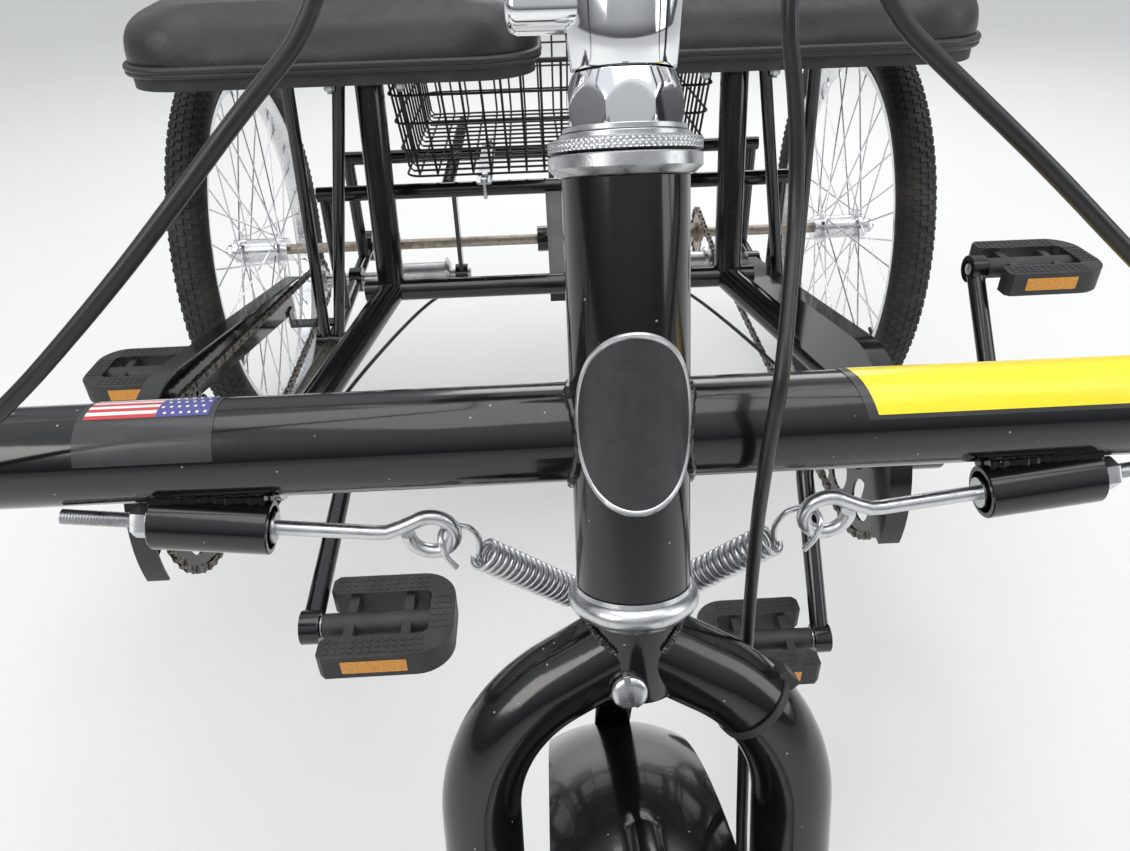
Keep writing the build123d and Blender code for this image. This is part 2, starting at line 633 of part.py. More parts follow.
AXLE_STUB_R = 4.76
AXLE_CORE_R = 5.2
DROPOUT_T = 5.0
STAY_EAR_Y = 17.0
STAY_EAR_Z = -2.0
front_axle = Vector(0, FRONT_AXLE_Y, FRONT_R)
crown_cut = STEER * (Pos(0, 0, crown_top - CROWN_H - 20) * Cylinder(CROWN_R + WELD_GAP, CROWN_H + 60, align=LOW))
leg_arch_up = crown_top - LEG_ARCH_DROP
leg_bend_up = -190.0
for side in SIDES:
    s = SIGN[side]
    tip_dir = Vector(0, -FORK_RAKE, -(FORK_DROP + leg_bend_up)).normalized()
    run = math.hypot(FORK_RAKE, FORK_DROP + leg_bend_up)
    mid_local = Vector(s * LEG_X, 0, leg_bend_up) + tip_dir * (run * 0.35)
    end_local = Vector(s * LEG_X, 0, leg_bend_up) + tip_dir * (run - 10)
    pts = [
        at_steer(s * 1, 0, leg_arch_up),
        at_steer(s * LEG_X, 0, leg_arch_up),
        at_steer(s * LEG_X, 0, leg_bend_up),
        at_steer(mid_local.X, mid_local.Y, mid_local.Z),
    ]
    leg = bent(pts, LEG_R, (LEG_ARCH_R, 120))
    tip = at_steer(end_local.X, end_local.Y, end_local.Z)
    leg += cone(pts[-1], tip, LEG_R, LEG_TIP_R)
    leg -= crown_cut
    leg = leg.solids().sort_by(SortBy.VOLUME)[-1]
    eye = rod((s * (LEG_X - DROPOUT_T / 2), FRONT_AXLE_Y, FRONT_R), (s * (LEG_X + DROPOUT_T / 2), FRONT_AXLE_Y, FRONT_R), 13)
    leg += eye
    leg += rod(
        (s * (LEG_X - DROPOUT_T / 2), FRONT_AXLE_Y + STAY_EAR_Y, FRONT_R + STAY_EAR_Z),
        (s * (LEG_X + DROPOUT_T / 2), FRONT_AXLE_Y + STAY_EAR_Y, FRONT_R + STAY_EAR_Z),
        7,
    )
    leg -= rod((s * 30, FRONT_AXLE_Y, FRONT_R), (s * 90, FRONT_AXLE_Y, FRONT_R), AXLE_CORE_R + WELD_GAP)
    save("fork_leg_" + side, leg)

# Locknut stack on the steerer
stack_z = HEAD_LEN + UPPER_CUP_H + RUN_GAP
stack = Pos(0, 0, stack_z) * Cylinder(UPPER_CUP_R, KNURL_H, align=LOW)
stack += Pos(0, 0, stack_z + KNURL_H) * Cylinder(WASHER_R, WASHER_H, align=LOW)
nut_face = RegularPolygon(LOCKNUT_AF / 2, 8, major_radius=False)
nut = Pos(0, 0, stack_z + KNURL_H + WASHER_H) * extrude(nut_face, LOCKNUT_H)
nut = nut & (Pos(0, 0, stack_z + KNURL_H + WASHER_H) * Cone(26, LOCKNUT_TOP_R, LOCKNUT_H, align=LOW))
stack += nut
stack -= Pos(0, 0, stack_z) * Cylinder(STEERER_R + WELD_GAP, 60, align=LOW)
save("headset_locknut", STEER * stack)

# Stem: tapered body, rearward clamp, and handlebar through it
stem_z = steerer_top + WELD_GAP
STEM_TOP = BAR_UP + 28.0
STEM_FOOT_R = 13.0
STEM_TOP_R = 17.3
stem = STEER * (Pos(0, 0, stem_z) * Cone(STEM_FOOT_R, STEM_TOP_R, STEM_TOP - stem_z, align=LOW))
bar_at = at_steer(0, BAR_BACK, BAR_UP)
clamp = rod(bar_at - Vector(26, 0, 0), bar_at + Vector(26, 0, 0), SLEEVE_R + 6)
neck = rod(at_steer(0, 0, BAR_UP), bar_at, 16.0)
stem += neck
stem += clamp
stem -= rod(bar_at - Vector(60, 0, 0), bar_at + Vector(60, 0, 0), SLEEVE_R + WELD_GAP)
save("stem", stem)

sleeve = rod(bar_at - Vector(SLEEVE_LEN / 2, 0, 0), bar_at + Vector(SLEEVE_LEN / 2, 0, 0), SLEEVE_R)
sleeve -= rod(bar_at - Vector(100, 0, 0), bar_at + Vector(100, 0, 0), BAR_R + WELD_GAP)
save("bar_sleeve", sleeve)

GRIP_Y = -70.0
GRIP_Z = 965.0
BAR_KNEE_Z = 905.0
bar_y = bar_at.Y
bar_z = bar_at.Z
outer_pts = [
    (0, bar_y, bar_z),
    (OUTER_GRIP_X - 95, bar_y, bar_z),
    (OUTER_GRIP_X - 25, bar_y + 30, BAR_KNEE_Z + 20),
    (OUTER_GRIP_X, GRIP_Y, GRIP_Z),
]
inner_pts = [
    (INNER_GRIP_X + 46, bar_y, bar_z),
    (INNER_GRIP_X + 12, bar_y + 30, BAR_KNEE_Z + 20),
    (INNER_GRIP_X, GRIP_Y, GRIP_Z),
]
bar = None
for s in (1, -1):
    outer = bent([(s * p[0], p[1], p[2]) for p in outer_pts], BAR_R, (50, 60))
    inner = bent([(s * p[0], p[1], p[2]) for p in inner_pts], BAR_R, 60)
    bar = outer + inner if bar is None else bar + outer + inner
save("handlebar", bar)

grips = []
levers = None
for s in (1, -1):
    for pts in (outer_pts, inner_pts):
        end = Vector(s * pts[-1][0], pts[-1][1], pts[-1][2])
        before = Vector(s * pts[-2][0], pts[-2][1], pts[-2][2])
        along = (end - before).normalized()
        grip = rod(end - along * (GRIP_LEN - 6), end + along * 6, GRIP_R)
        grip -= rod(end - along * GRIP_LEN, end, BAR_R + WELD_GAP)
        grips.append(grip)
save("grips", Compound(grips))

# Front brake lever, under the driver's left outer grip
LEVER_DROP = 26.0
BLADE_LEN = 100.0
BLADE_SAG = 12.0
end = Vector(*outer_pts[-1])
before = Vector(*outer_pts[-2])
along = (end - before).normalized()
clamp_at = end - along * (GRIP_LEN + 12)
lever = rod(clamp_at - along * 9, clamp_at + along * 9, BAR_R + 5, BAR_R + WELD_GAP)
pivot = clamp_at + Vector(0, 0, -LEVER_DROP)
lever += rod(clamp_at + Vector(0, 0, -BAR_R - 2), pivot, 6)
lever += cone(pivot, pivot + along * BLADE_LEN + Vector(0, 0, -BLADE_SAG), 6, 4)
save("brake_lever", lever)

# Front fender: crowned sheet with a raised ridge along its middle, and its stays
FENDER_OVER_TYRE = 18.4
FENDER_R = FRONT_R + FENDER_OVER_TYRE
FENDER_T = 1.6
FENDER_HALF = 32.5
FENDER_CROWN = 7.5
RIDGE_H = 2.2
RIDGE_HALF = 7.5
RIDGE_FOOT = 9.5
FENDER_FROM = -28.0
FENDER_TO = 128.0
FENDER_STAY_R = 2.5
edge_r = FENDER_R - FENDER_CROWN
ridge_low = FENDER_R - FENDER_CROWN * (RIDGE_FOOT / FENDER_HALF) ** 2
shell = Plane.XY * make_face(
    [
        ThreePointArc((-FENDER_HALF, edge_r), (0, FENDER_R), (FENDER_HALF, edge_r)),
        Line((FENDER_HALF, edge_r), (FENDER_HALF, edge_r - FENDER_T)),
        ThreePointArc(
            (FENDER_HALF, edge_r - FENDER_T), (0, FENDER_R - FENDER_T), (-FENDER_HALF, edge_r - FENDER_T)
        ),
        Line((-FENDER_HALF, edge_r - FENDER_T), (-FENDER_HALF, edge_r)),
    ]
)
shell += Plane.XY * make_face(
    Polyline(
        (-RIDGE_FOOT, ridge_low - 0.4),
        (-RIDGE_HALF, FENDER_R + RIDGE_H),
        (RIDGE_HALF, FENDER_R + RIDGE_H),
        (RIDGE_FOOT, ridge_low - 0.4),
        close=True,
    )
)
fender = Pos(*front_axle) * Rot(FENDER_FROM, 0, 0) * revolve(shell, Axis.X, FENDER_TO - FENDER_FROM)
for s in (1, -1):
    angle = math.radians(FENDER_FROM + 12)
    top_r = edge_r - FENDER_T / 2
    top = front_axle + Vector(s * FENDER_HALF, top_r * math.cos(angle), top_r * math.sin(angle))
    low = Vector(s * (LEG_X + DROPOUT_T / 2 + 4.0), FRONT_AXLE_Y + STAY_EAR_Y, FRONT_R + STAY_EAR_Z)
    fender += rod(low, top, FENDER_STAY_R)
    fender += rod(low - Vector(s * 3.7, 0, 0), low + Vector(s * 2.6, 0, 0), 4)
bracket_back = CROWN_R + WELD_GAP
bracket_low = -FORK_DROP + math.sqrt((FENDER_R - FENDER_T / 2) ** 2 - (FORK_RAKE + bracket_back + 1.2) ** 2)
bracket_high = TAB_UP - 3.0
fender += STEER * (
    Pos(0, bracket_back + 1.1, (bracket_low + bracket_high) / 2) * Box(18, 2.2, bracket_high - bracket_low)
)
save("front_fender", fender)

# Front axle with the drum brake's plate, on the vehicle's left
PLATE_X = 38.0
PLATE_T = 6.0
axle_end = LEG_X + 15.0
stub_from = LEG_X + DROPOUT_T / 2 + 0.5
axle = rod(front_axle - Vector(axle_end, 0, 0), front_axle + Vector(axle_end, 0, 0), AXLE_STUB_R)
axle += rod(front_axle - Vector(stub_from, 0, 0), front_axle + Vector(stub_from, 0, 0), AXLE_CORE_R)
axle += rod(front_axle + Vector(PLATE_X, 0, 0), front_axle + Vector(PLATE_X + PLATE_T, 0, 0), 48.0)
spacer = LEG_X - DROPOUT_T / 2 - WELD_GAP
axle += rod(front_axle + Vector(PLATE_X, 0, 0), front_axle + Vector(spacer, 0, 0), 9.0)
axle += rod(front_axle - Vector(spacer, 0, 0), front_axle - Vector(44, 0, 0), 9.0)
save("front_axle", axle)

# Cables: the front brake's, then one shift cable down each side
CABLE_R = 2.5
CABLE_BEND = 60.0


def cable(points):
    """Round cable, each bend as wide as the runs beside it allow."""
    radii = []
    for a, b, c in zip(points, points[1:], points[2:]):
        turn = math.radians((b - a).get_angle(c - b))
        run = min((b - a).length, (c - b).length)
        radii.append(min(CABLE_BEND, 0.45 * run / math.tan(turn / 2.0)))
    return bent(points, CABLE_R, radii)


on_plate = PLATE_X + PLATE_T + CABLE_R + WELD_GAP
brake_route = [
    pivot + Vector(-4, -8, 8),
    bar_at + Vector(330, 30, 151),
    bar_at + Vector(120, -22, 88),
    at_steer(50, -13, 238),
    at_steer(41.5, -16, 180),
    at_steer(49.5, -8, 139),
    at_steer(41, -29, 79),
    at_steer(40, -20.5, 40),
    at_steer(43.5, 9, 0),
    at_steer(44.5, 19.5, -34),
    at_steer(45, 23, -128),
    at_steer(on_plate, 22, -175),
    at_steer(on_plate, 8, -255),
    front_axle + Vector(on_plate, 38, 22),
]
save("brake_cable", cable(brake_route))

beside_tube = BB_X - DOWN_TUBE_R - CABLE_R - WELD_GAP
under_shell = BB_Z - BB_R - CABLE_R - 2.0
down_from = Vector(beside_tube, cross_at.Y, cross_at.Z)
down_run = Vector(beside_tube, BB_Y, DOWN_TUBE_END_Z) - down_from
inner_knee = Vector(*inner_pts[1])
inner_end = Vector(*inner_pts[2])
shift_route = [
    inner_knee + (inner_end - inner_knee) * 0.3466 + Vector(-11.95, 0, -8.2),
    inner_knee + Vector(-26, 0, -20),
    bar_at + Vector(64, -44, 71),
    at_steer(62, -37.5, 192),
    at_steer(88, -39, 149.5),
    at_steer(132, -33.5, 109),
    at_steer(182, -29.5, 71.5),
    at_steer(232, -23, 46.5),
    at_steer(270, -12.5, 30.5),
    down_from + Vector(0, 13, -37),
    down_from + down_run * 0.17,
    down_from + down_run * 0.8,
    Vector(beside_tube - 1.0, BB_Y - 48, BB_Z + 37),
    Vector(beside_tube - 2.3, BB_Y - 36, BB_Z - 5),
    Vector(beside_tube - 3.3, BB_Y - 18, under_shell),
    Vector(beside_tube - 6.3, BB_Y + 10, under_shell - 4.0),
    Vector(262, 100, 306),
    Vector(185, 380, 300),
    Vector(HUB_INNER_X, HUB_Y - 45, HUB_Z),
    Vector(HUB_INNER_X, HUB_Y - HANGER_RING_R - 0.5, HUB_Z),
]
cables = []
for s in (1, -1):
    cables.append(cable([Vector(s * p.X, p.Y, p.Z) for p in shift_route]))
save("shift_cables", Compound(cables))


def wire_wheel(x, y, z, outer_r, rim_w, hub_r, hub_half, flange_r, flange_half, count, bore):
    """Rim, hub with flanges and hexagonal spokes, in one solid round an X axle."""
    lip = rim_w / 2.0
    tube_r = outer_r - 2.0 * (TYRE_W / 2.0)
    top = tube_r + 2.8
    profile = [
        (-lip, top), (-lip, top - 8), (-8, top - 17), (8, top - 17), (lip, top - 8), (lip, top),
        (lip - 3, top), (lip - 3, top - 6), (-lip + 3, top - 6), (-lip + 3, top),
    ]
    face = Plane.XY * make_face(Polyline(*profile, close=True))
    rim = revolve(face, Axis.X)
    hub = rod((-hub_half, 0, 0), (hub_half, 0, 0), hub_r)
    for s in (1, -1):
        hub += rod((s * (flange_half - 2), 0, 0), (s * (flange_half + 2), 0, 0), flange_r)
    spokes = []
    per_side = count // 2
    for s in (1, -1):
        for i in range(per_side):
            lead = 1 if i % 2 == 0 else -1
            rim_angle = 2 * math.pi * (i + (0.25 if s > 0 else -0.25)) / per_side
            hub_angle = rim_angle + lead * math.radians(52)
            hub_pos = Vector(
                s * (flange_half + lead * 1.6),
                (flange_r - 3) * math.cos(hub_angle),
                (flange_r - 3) * math.sin(hub_angle),
            )
            rim_pos = Vector(s * 1.5, (top - 15) * math.cos(rim_angle), (top - 15) * math.sin(rim_angle))
            direction = (rim_pos - hub_pos).normalized()
            start = Plane(origin=hub_pos, z_dir=direction)
            spokes.append(start * extrude(RegularPolygon(1.2, 6), (rim_pos - hub_pos).length))
    wheel = rim.fuse(hub, *spokes)
    if bore > 0:
        wheel -= rod((-hub_half - 5, 0, 0), (hub_half + 5, 0, 0), bore)
    return Pos(x, y, z) * wheel


def tyre(x, y, z, outer_r):
    """Ring with a flat-sided section: tread crown, shoulders, walls and beads."""
    half = TYRE_W / 2.0
    section = []
    for across, inward in ((8, 0), (17, 3), (25, 17), (25, 29), (12.5, 46.8), (12.5, 52.8)):
        section.append((across * half / 25.0, outer_r - inward))
    section += [(-across, r) for across, r in reversed(section)]
    face = Plane.XY * make_face(Polyline(*section, close=True))
    return Pos(x, y, z) * revolve(face, Axis.X)


save("front_tyre", tyre(0, FRONT_AXLE_Y, FRONT_R, FRONT_R))
front = wire_wheel(0, FRONT_AXLE_Y, FRONT_R, FRONT_R, 32.0, 16.0, 33.0, 26.0, 26.0, 36, AXLE_CORE_R + RUN_GAP)
drum = rod(front_axle + Vector(30, 0, 0), front_axle + Vector(PLATE_X - 3, 0, 0), 45.0)
drum -= rod(front_axle, front_axle + Vector(60, 0, 0), AXLE_CORE_R + RUN_GAP)
save("front_wheel", front + drum)
for side in SIDES:
    s = SIGN[side]
    x = s * WHEEL_X
    save("rear_tyre_" + side, tyre(x, REAR_AXLE_Y, REAR_R, REAR_R))
    wheel = wire_wheel(x, REAR_AXLE_Y, REAR_R, REAR_R, 32.0, REAR_HUB_R, REAR_HUB_HALF, 26.0, 28.0, 36, 0)
    save("rear_wheel_" + side, wheel)
    shaft = rod((s * 6, REAR_AXLE_Y, REAR_R), (s * (WHEEL_X - REAR_HUB_HALF), REAR_AXLE_Y, REAR_R), AXLE_R)
    cog_x = OUTPUT_X[side]
    shaft += rod((cog_x - 8, REAR_AXLE_Y, REAR_R), (cog_x + 8, REAR_AXLE_Y, REAR_R), 15.0)
    shaft += toothed(cog_x, 2.2, REAR_AXLE_Y, REAR_R, AXLE_COG, 7.0)
    save("half_axle_" + side, shaft)

# One-piece cranks with chainrings, and pedals, each with a recess for its front and rear reflector
LENS_HALF = 24.0
LENS_H = 15.0
LENS_DEEP = 2.5


def pedal_shape(x_near, x_far, y, z):
    """Moulded pedal: rounded plate with a barrel and four slots, on its own pin."""
    mid_x = (x_near + x_far) / 2.0
    body = Pos(mid_x, y, z) * extrude(RectangleRounded(abs(x_far - x_near), PEDAL_L, 14), PEDAL_T / 2, both=True)
    for dx in (-23, 23):
        for dy in (-23, 23):
            body -= Pos(mid_x + dx, y + dy, z) * extrude(RectangleRounded(36, 20, 5), PEDAL_T, both=True)
    for edge in (1, -1):
        lens_y = sorted((y + edge * (PEDAL_L / 2 - LENS_DEEP), y + edge * (PEDAL_L / 2 + 1)))
        body -= block((mid_x - LENS_HALF, lens_y[0], z - LENS_H / 2), (mid_x + LENS_HALF, lens_y[1], z + LENS_H / 2))
    return body


for side in SIDES:
    xb = SIGN[side] * BB_X
    rad = math.radians(CRANK_ANGLE[side])
    tips = {}
    for k, sign in ((1, -1), (-1, 1)):
        tips[sign] = (xb + sign * ARM_OFF, BB_Y + k * ARM_LEN * math.cos(rad), BB_Z + k * ARM_LEN * math.sin(rad))
    crank = bent([tips[-1], (xb - ARM_OFF, BB_Y, BB_Z), (xb + ARM_OFF, BB_Y, BB_Z), tips[1]], ARM_R, ARM_BEND)
    for sign in (-1, 1):
        x, y, z = tips[sign]
        crank += rod((x - ARM_EYE_T / 2, y, z), (x + ARM_EYE_T / 2, y, z), ARM_EYE_R)
    ring_x = xb + CHAINRING_OFF
    crank += rod((ring_x - 4, BB_Y, BB_Z), (ring_x + 4, BB_Y, BB_Z), 20.0)
    ring = toothed(ring_x, 2.4, BB_Y, BB_Z, RING_TEETH, 6.0)
    for i in range(5):
        angle = 2 * math.pi * i / 5 + rad
        hole_y = BB_Y + 48 * math.cos(angle)
        hole_z = BB_Z + 48 * math.sin(angle)
        ring -= rod((ring_x - 9, hole_y, hole_z), (ring_x + 9, hole_y, hole_z), 20.0)
    crank += ring
    for sign in (-1, 1):
        x, y, z = tips[sign]
        crank -= rod((x - 20, y, z), (x + 20, y, z), PEDAL_PIN_R + RUN_GAP)
        near = x + sign * (ARM_EYE_T / 2 + PEDAL_GAP)
        far = near + sign * PEDAL_W
        pedal = pedal_shape(near, far, y, z)
        pedal += rod((x - sign * ARM_EYE_T / 2, y, z), (near + sign * 4, y, z), PEDAL_PIN_R)
        place = "outer" if sign * SIGN[side] > 0 else "inner"
        save("pedal_" + side + "_" + place, pedal)
    save("crank_" + side, crank)
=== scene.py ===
import json
import math

import bmesh
import bpy
from mathutils import Matrix, Vector


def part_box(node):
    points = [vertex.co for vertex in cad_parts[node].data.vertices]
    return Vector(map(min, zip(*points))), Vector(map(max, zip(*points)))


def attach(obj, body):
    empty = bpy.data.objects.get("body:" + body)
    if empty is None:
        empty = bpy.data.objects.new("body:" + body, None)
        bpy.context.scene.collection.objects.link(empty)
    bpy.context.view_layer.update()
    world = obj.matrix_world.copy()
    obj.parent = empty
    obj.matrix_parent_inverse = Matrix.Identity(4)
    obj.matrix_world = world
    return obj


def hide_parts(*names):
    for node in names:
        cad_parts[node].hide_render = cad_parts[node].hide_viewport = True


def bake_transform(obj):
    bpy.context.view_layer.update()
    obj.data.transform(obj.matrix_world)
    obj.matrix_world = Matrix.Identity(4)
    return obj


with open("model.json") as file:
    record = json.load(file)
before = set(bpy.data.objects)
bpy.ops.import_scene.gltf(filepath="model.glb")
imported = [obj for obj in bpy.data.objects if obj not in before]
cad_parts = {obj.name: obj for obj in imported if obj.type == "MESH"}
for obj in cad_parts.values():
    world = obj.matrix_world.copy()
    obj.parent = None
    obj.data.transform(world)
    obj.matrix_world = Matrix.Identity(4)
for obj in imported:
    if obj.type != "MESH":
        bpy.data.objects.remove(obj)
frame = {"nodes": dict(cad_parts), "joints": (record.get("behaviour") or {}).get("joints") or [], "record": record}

scene = bpy.context.scene
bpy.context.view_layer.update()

# Places read from the frame. The vehicle faces -Y and its own left side is +X.
JOINT = {joint["name"]: joint for joint in frame["joints"]}
SIDES = (("left", 1.0), ("right", -1.0))
SIGNS = (1.0, -1.0)
SIDE_NAMES = ("left", "right")
X_AXIS = Vector((1.0, 0.0, 0.0))
Y_AXIS = Vector((0.0, 1.0, 0.0))
Z_AXIS = Vector((0.0, 0.0, 1.0))


def joint_at(name):
    return Vector(JOINT[name]["pos_m"])


STEER_FOOT = joint_at("steering")
STEER_UP = Vector(JOINT["steering"]["axis"]).normalized()
STEER_BACK = Vector((0.0, STEER_UP.z, -STEER_UP.y))
FRONT_AXLE = joint_at("front_wheel_spin")
REAR_AXLE = {side: joint_at("rear_wheel_%s_spin" % side) for side in SIDE_NAMES}

# Sizes shared between pieces, in metres
CROSSBAR_UP = 0.059
BAR_R = 0.0165
BAR_WALL = 0.0020
BAR_BACK = 0.0081
BAR_UP = 0.0574
HEAD_R = 0.01905
HEAD_BORE_R = 0.0165
HEAD_LEN = 0.137
STEERER_R = 0.0127
LEG_R = 0.0143
LEG_X = 0.0565
LEG_ARCH_UP = -0.0214
LEG_ARCH_R = 0.060
LEG_SLOPE = math.radians(30.0)
LEG_BEND_UP = -0.190
LEG_BEND_RUN = 0.023
LEG_TIP_R = 0.009
STAY_EAR = Vector((0.0, 0.017, -0.002))
CROWN_R = 0.0155
CROWN_FOOT = -0.0318
TAB_BACK = 0.043
TAB_UP = -0.025
TAB_T = 0.005
CABLE_R = 0.0023
CHAIN_PITCH = 0.0127


# Points and angles
def at_steer(across, back, up):
    """World point given across, rearward and up along the steering axis."""
    return STEER_FOOT + X_AXIS * across + STEER_BACK * back + STEER_UP * up


def spread(start, stop, count):
    """Evenly spaced values, both ends among them."""
    return [start + (stop - start) * i / (count - 1) for i in range(count)]


def arc(start, stop, count):
    """Evenly spaced angles in radians from one angle in degrees to another."""
    return spread(math.radians(start), math.radians(stop), count)


def full_turn(count):
    return [2.0 * math.pi * i / count for i in range(count)]


def turned(first, second, angle):
    """Unit vector at an angle from the first of two square axes towards the second."""
    return first * math.cos(angle) + second * math.sin(angle)


def wheel_out(angle):
    """Direction away from an axle, in the side plane."""
    return turned(Y_AXIS, Z_AXIS, angle)


def side_axes(direction):
    """Two unit vectors square to a direction."""
    along = direction.normalized()
    other = Z_AXIS if abs(along.z) < 0.9 else Y_AXIS
    first = along.cross(other).normalized()
    return first, along.cross(first).normalized()


def carried_axes(points, closed):
    """Side axes along a path, turned as little as possible from point to point."""
    count = len(points)
    first = None
    axes = []
    for k in range(count):
        before = points[k - 1] if closed or k > 0 else points[k]
        after = points[(k + 1) % count] if closed or k < count - 1 else points[k]
        along = (after - before).normalized()
        if first is None:
            first = side_axes(along)[0]
        first = (first - along * first.dot(along)).normalized()
        axes.append((first, along.cross(first)))
    return axes


def circle_of(centre, first, second, radius, sides):
    return [centre + turned(first, second, angle) * radius for angle in full_turn(sides)]


def rounded_rectangle(half_a, half_b, corner, steps=6):
    """Outline points (a, b) of a rectangle with round corners."""
    outline = []
    for quarter, (sign_a, sign_b) in enumerate(((1, 1), (-1, 1), (-1, -1), (1, -1))):
        for angle in arc(90.0 * quarter, 90.0 * quarter + 90.0, steps + 1):
            a = sign_a * (half_a - corner) + corner * math.cos(angle)
            b = sign_b * (half_b - corner) + corner * math.sin(angle)
            outline.append((a, b))
    return outline


def collar(low, high, bore, radius, edge):
    """Profile rows of a ring whose outer edges are chamfered."""
    return [
        (low, bore), (low, radius - edge), (low + edge, radius),
        (high - edge, radius), (high, radius - edge), (high, bore),
    ]


def smooth_route(points):
    """Points along the NURBS spline that has these control points."""
    curve = bpy.data.curves.new("route", "CURVE")
    curve.dimensions = "3D"
    spline = curve.splines.new("NURBS")
    spline.points.add(len(points) - 1)
    for k, point in enumerate(points):
        spline.points[k].co = (*point, 1.0)
    spline.order_u = 3
    spline.use_endpoint_u = True
    spline.resolution_u = 10
    holder = bpy.data.objects.new("route", curve)
    mesh = bpy.data.meshes.new_from_object(holder)
    route = [vertex.co.copy() for vertex in mesh.vertices]
    bpy.data.objects.remove(holder)
    bpy.data.meshes.remove(mesh)
    return route


class Shape:
    """Vertices and faces gathered from several simple forms, as one mesh."""

    def __init__(self):
        self.verts = []
        self.faces = []

    def skin(self, rings, closed=False):
        """Skin over rings of equally many points, capped unless the rings close on themselves."""
        base = len(self.verts)
        count = len(rings[0])
        for ring in rings:
            self.verts.extend(ring)
        for r in range(len(rings) if closed else len(rings) - 1):
            here = base + r * count
            there = base + (r + 1) % len(rings) * count
            for i in range(count):
                j = (i + 1) % count
                self.faces.append((here + i, here + j, there + j, there + i))
        if not closed:
            last = base + (len(rings) - 1) * count
            self.faces.append(tuple(base + i for i in reversed(range(count))))
            self.faces.append(tuple(last + i for i in range(count)))
        return self

    def sheet(self, rows):
        """Open sheet over rows of equally many points."""
        count = len(rows[0])
        for row in rows:
            self.verts.extend(row)
        for r in range(len(rows) - 1):
            for a in range(r * count, r * count + count - 1):
                self.faces.append((a, a + 1, a + count + 1, a + count))
        return self

    def tube(self, points, radius, sides=10, closed=False, radii=None):
        rings = []
        for k, (first, second) in enumerate(carried_axes(points, closed)):
            rings.append(circle_of(points[k], first, second, radii[k] if radii else radius, sides))
        return self.skin(rings, closed)

    def lathe(self, origin, axis, profile, sides=48, hollow=False):
        """Solid of revolution whose profile rows are (along, radius)."""
        along = axis.normalized()
        first, second = side_axes(axis)
        rings = []
        for height, radius in profile:
            rings.append(circle_of(origin + along * height, first, second, radius, sides))
        return self.skin(rings, hollow)

    def disc(self, origin, axis, radius, thickness, sides=24):
        return self.lathe(origin, axis, [(0.0, radius), (thickness, radius)], sides)

    def plate(self, outline, origin, first, second, thickness, bevel=0.0003):
        """Flat piece from outline points (a, b), as thick as said along first x second."""
        out = first.cross(second).normalized()
        middle_a = sum(a for a, b in outline) / len(outline)
        middle_b = sum(b for a, b in outline) / len(outline)
        rings = []
        for height, inset in ((0, bevel), (bevel, 0), (thickness - bevel, 0), (thickness, bevel)):
            ring = []
            for a, b in outline:
                keep = 1.0 - inset / math.hypot(a - middle_a, b - middle_b)
                a_in = middle_a + (a - middle_a) * keep
                b_in = middle_b + (b - middle_b) * keep
                ring.append(origin + first * a_in + second * b_in + out * height)
            rings.append(ring)
        return self.skin(rings)

    def nut(self, origin, axis, across_flats, height):
        """Chamfered hexagon nut or bolt head seated at origin."""
        corner = across_flats / 2.0 / math.cos(math.pi / 6)
        edge = height * 0.16
        low = corner * 0.93
        profile = [(0.0, low), (edge, corner), (height - edge, corner), (height, low)]
        return self.lathe(origin, axis, profile, 6)

    def bolt(self, origin, axis, across_flats, washer_r, shank_r, shank):
        """Washer, hexagon head and the thread's end standing out of it."""
        washer_t = 0.0012
        top = washer_t + across_flats * 0.62
        self.disc(origin, axis, washer_r, washer_t)
        self.nut(origin + axis * washer_t, axis, across_flats, top - washer_t)
        profile = [(top, shank_r)]
        turns = max(2, int(shank / 0.001))
        for i in range(turns):
            profile.append((top + shank * (i + 0.35) / turns, shank_r * 0.86))
            profile.append((top + shank * (i + 0.85) / turns, shank_r))
        return self.lathe(origin, axis, profile, 14)


def piece(name, shape, finish, body=None, replaces=(), sharp=38.0):
    """Turns a shape into an object that shades smoothly up to the sharp angle."""
    mesh = bpy.data.meshes.new(name)
    mesh.from_pydata([tuple(v) for v in shape.verts], [], shape.faces)
    work = bmesh.new()
    work.from_mesh(mesh)
    bmesh.ops.recalc_face_normals(work, faces=work.faces)
    work.to_mesh(mesh)
    work.free()
    mesh.polygons.foreach_set("use_smooth", [True] * len(mesh.polygons))
    mesh.set_sharp_from_angle(angle=math.radians(sharp))
    mesh.materials.append(finish.material)
    made = bpy.data.objects.new(name, mesh)
    scene.collection.objects.link(made)
    if body:
        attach(made, body)
    if replaces:
        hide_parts(*replaces)
    return made


# Finishes
def make_node(tree, kind, wires, values):
    """New shader node; wires are (input, source) and values are (input, value)."""
    node = tree.nodes.new("ShaderNode" + kind)
    for socket, value in values:
        node.inputs[socket].default_value = value
    for socket, source in wires:
        tree.links.new(source, node.inputs[socket])
    return node


def remap(tree, source, from_low, from_high, to_low, to_high):
    names = ("From Min", "From Max", "To Min", "To Max")
    values = zip(names, (from_low, from_high, to_low, to_high))
    return make_node(tree, "MapRange", [("Value", source)], values).outputs["Result"]


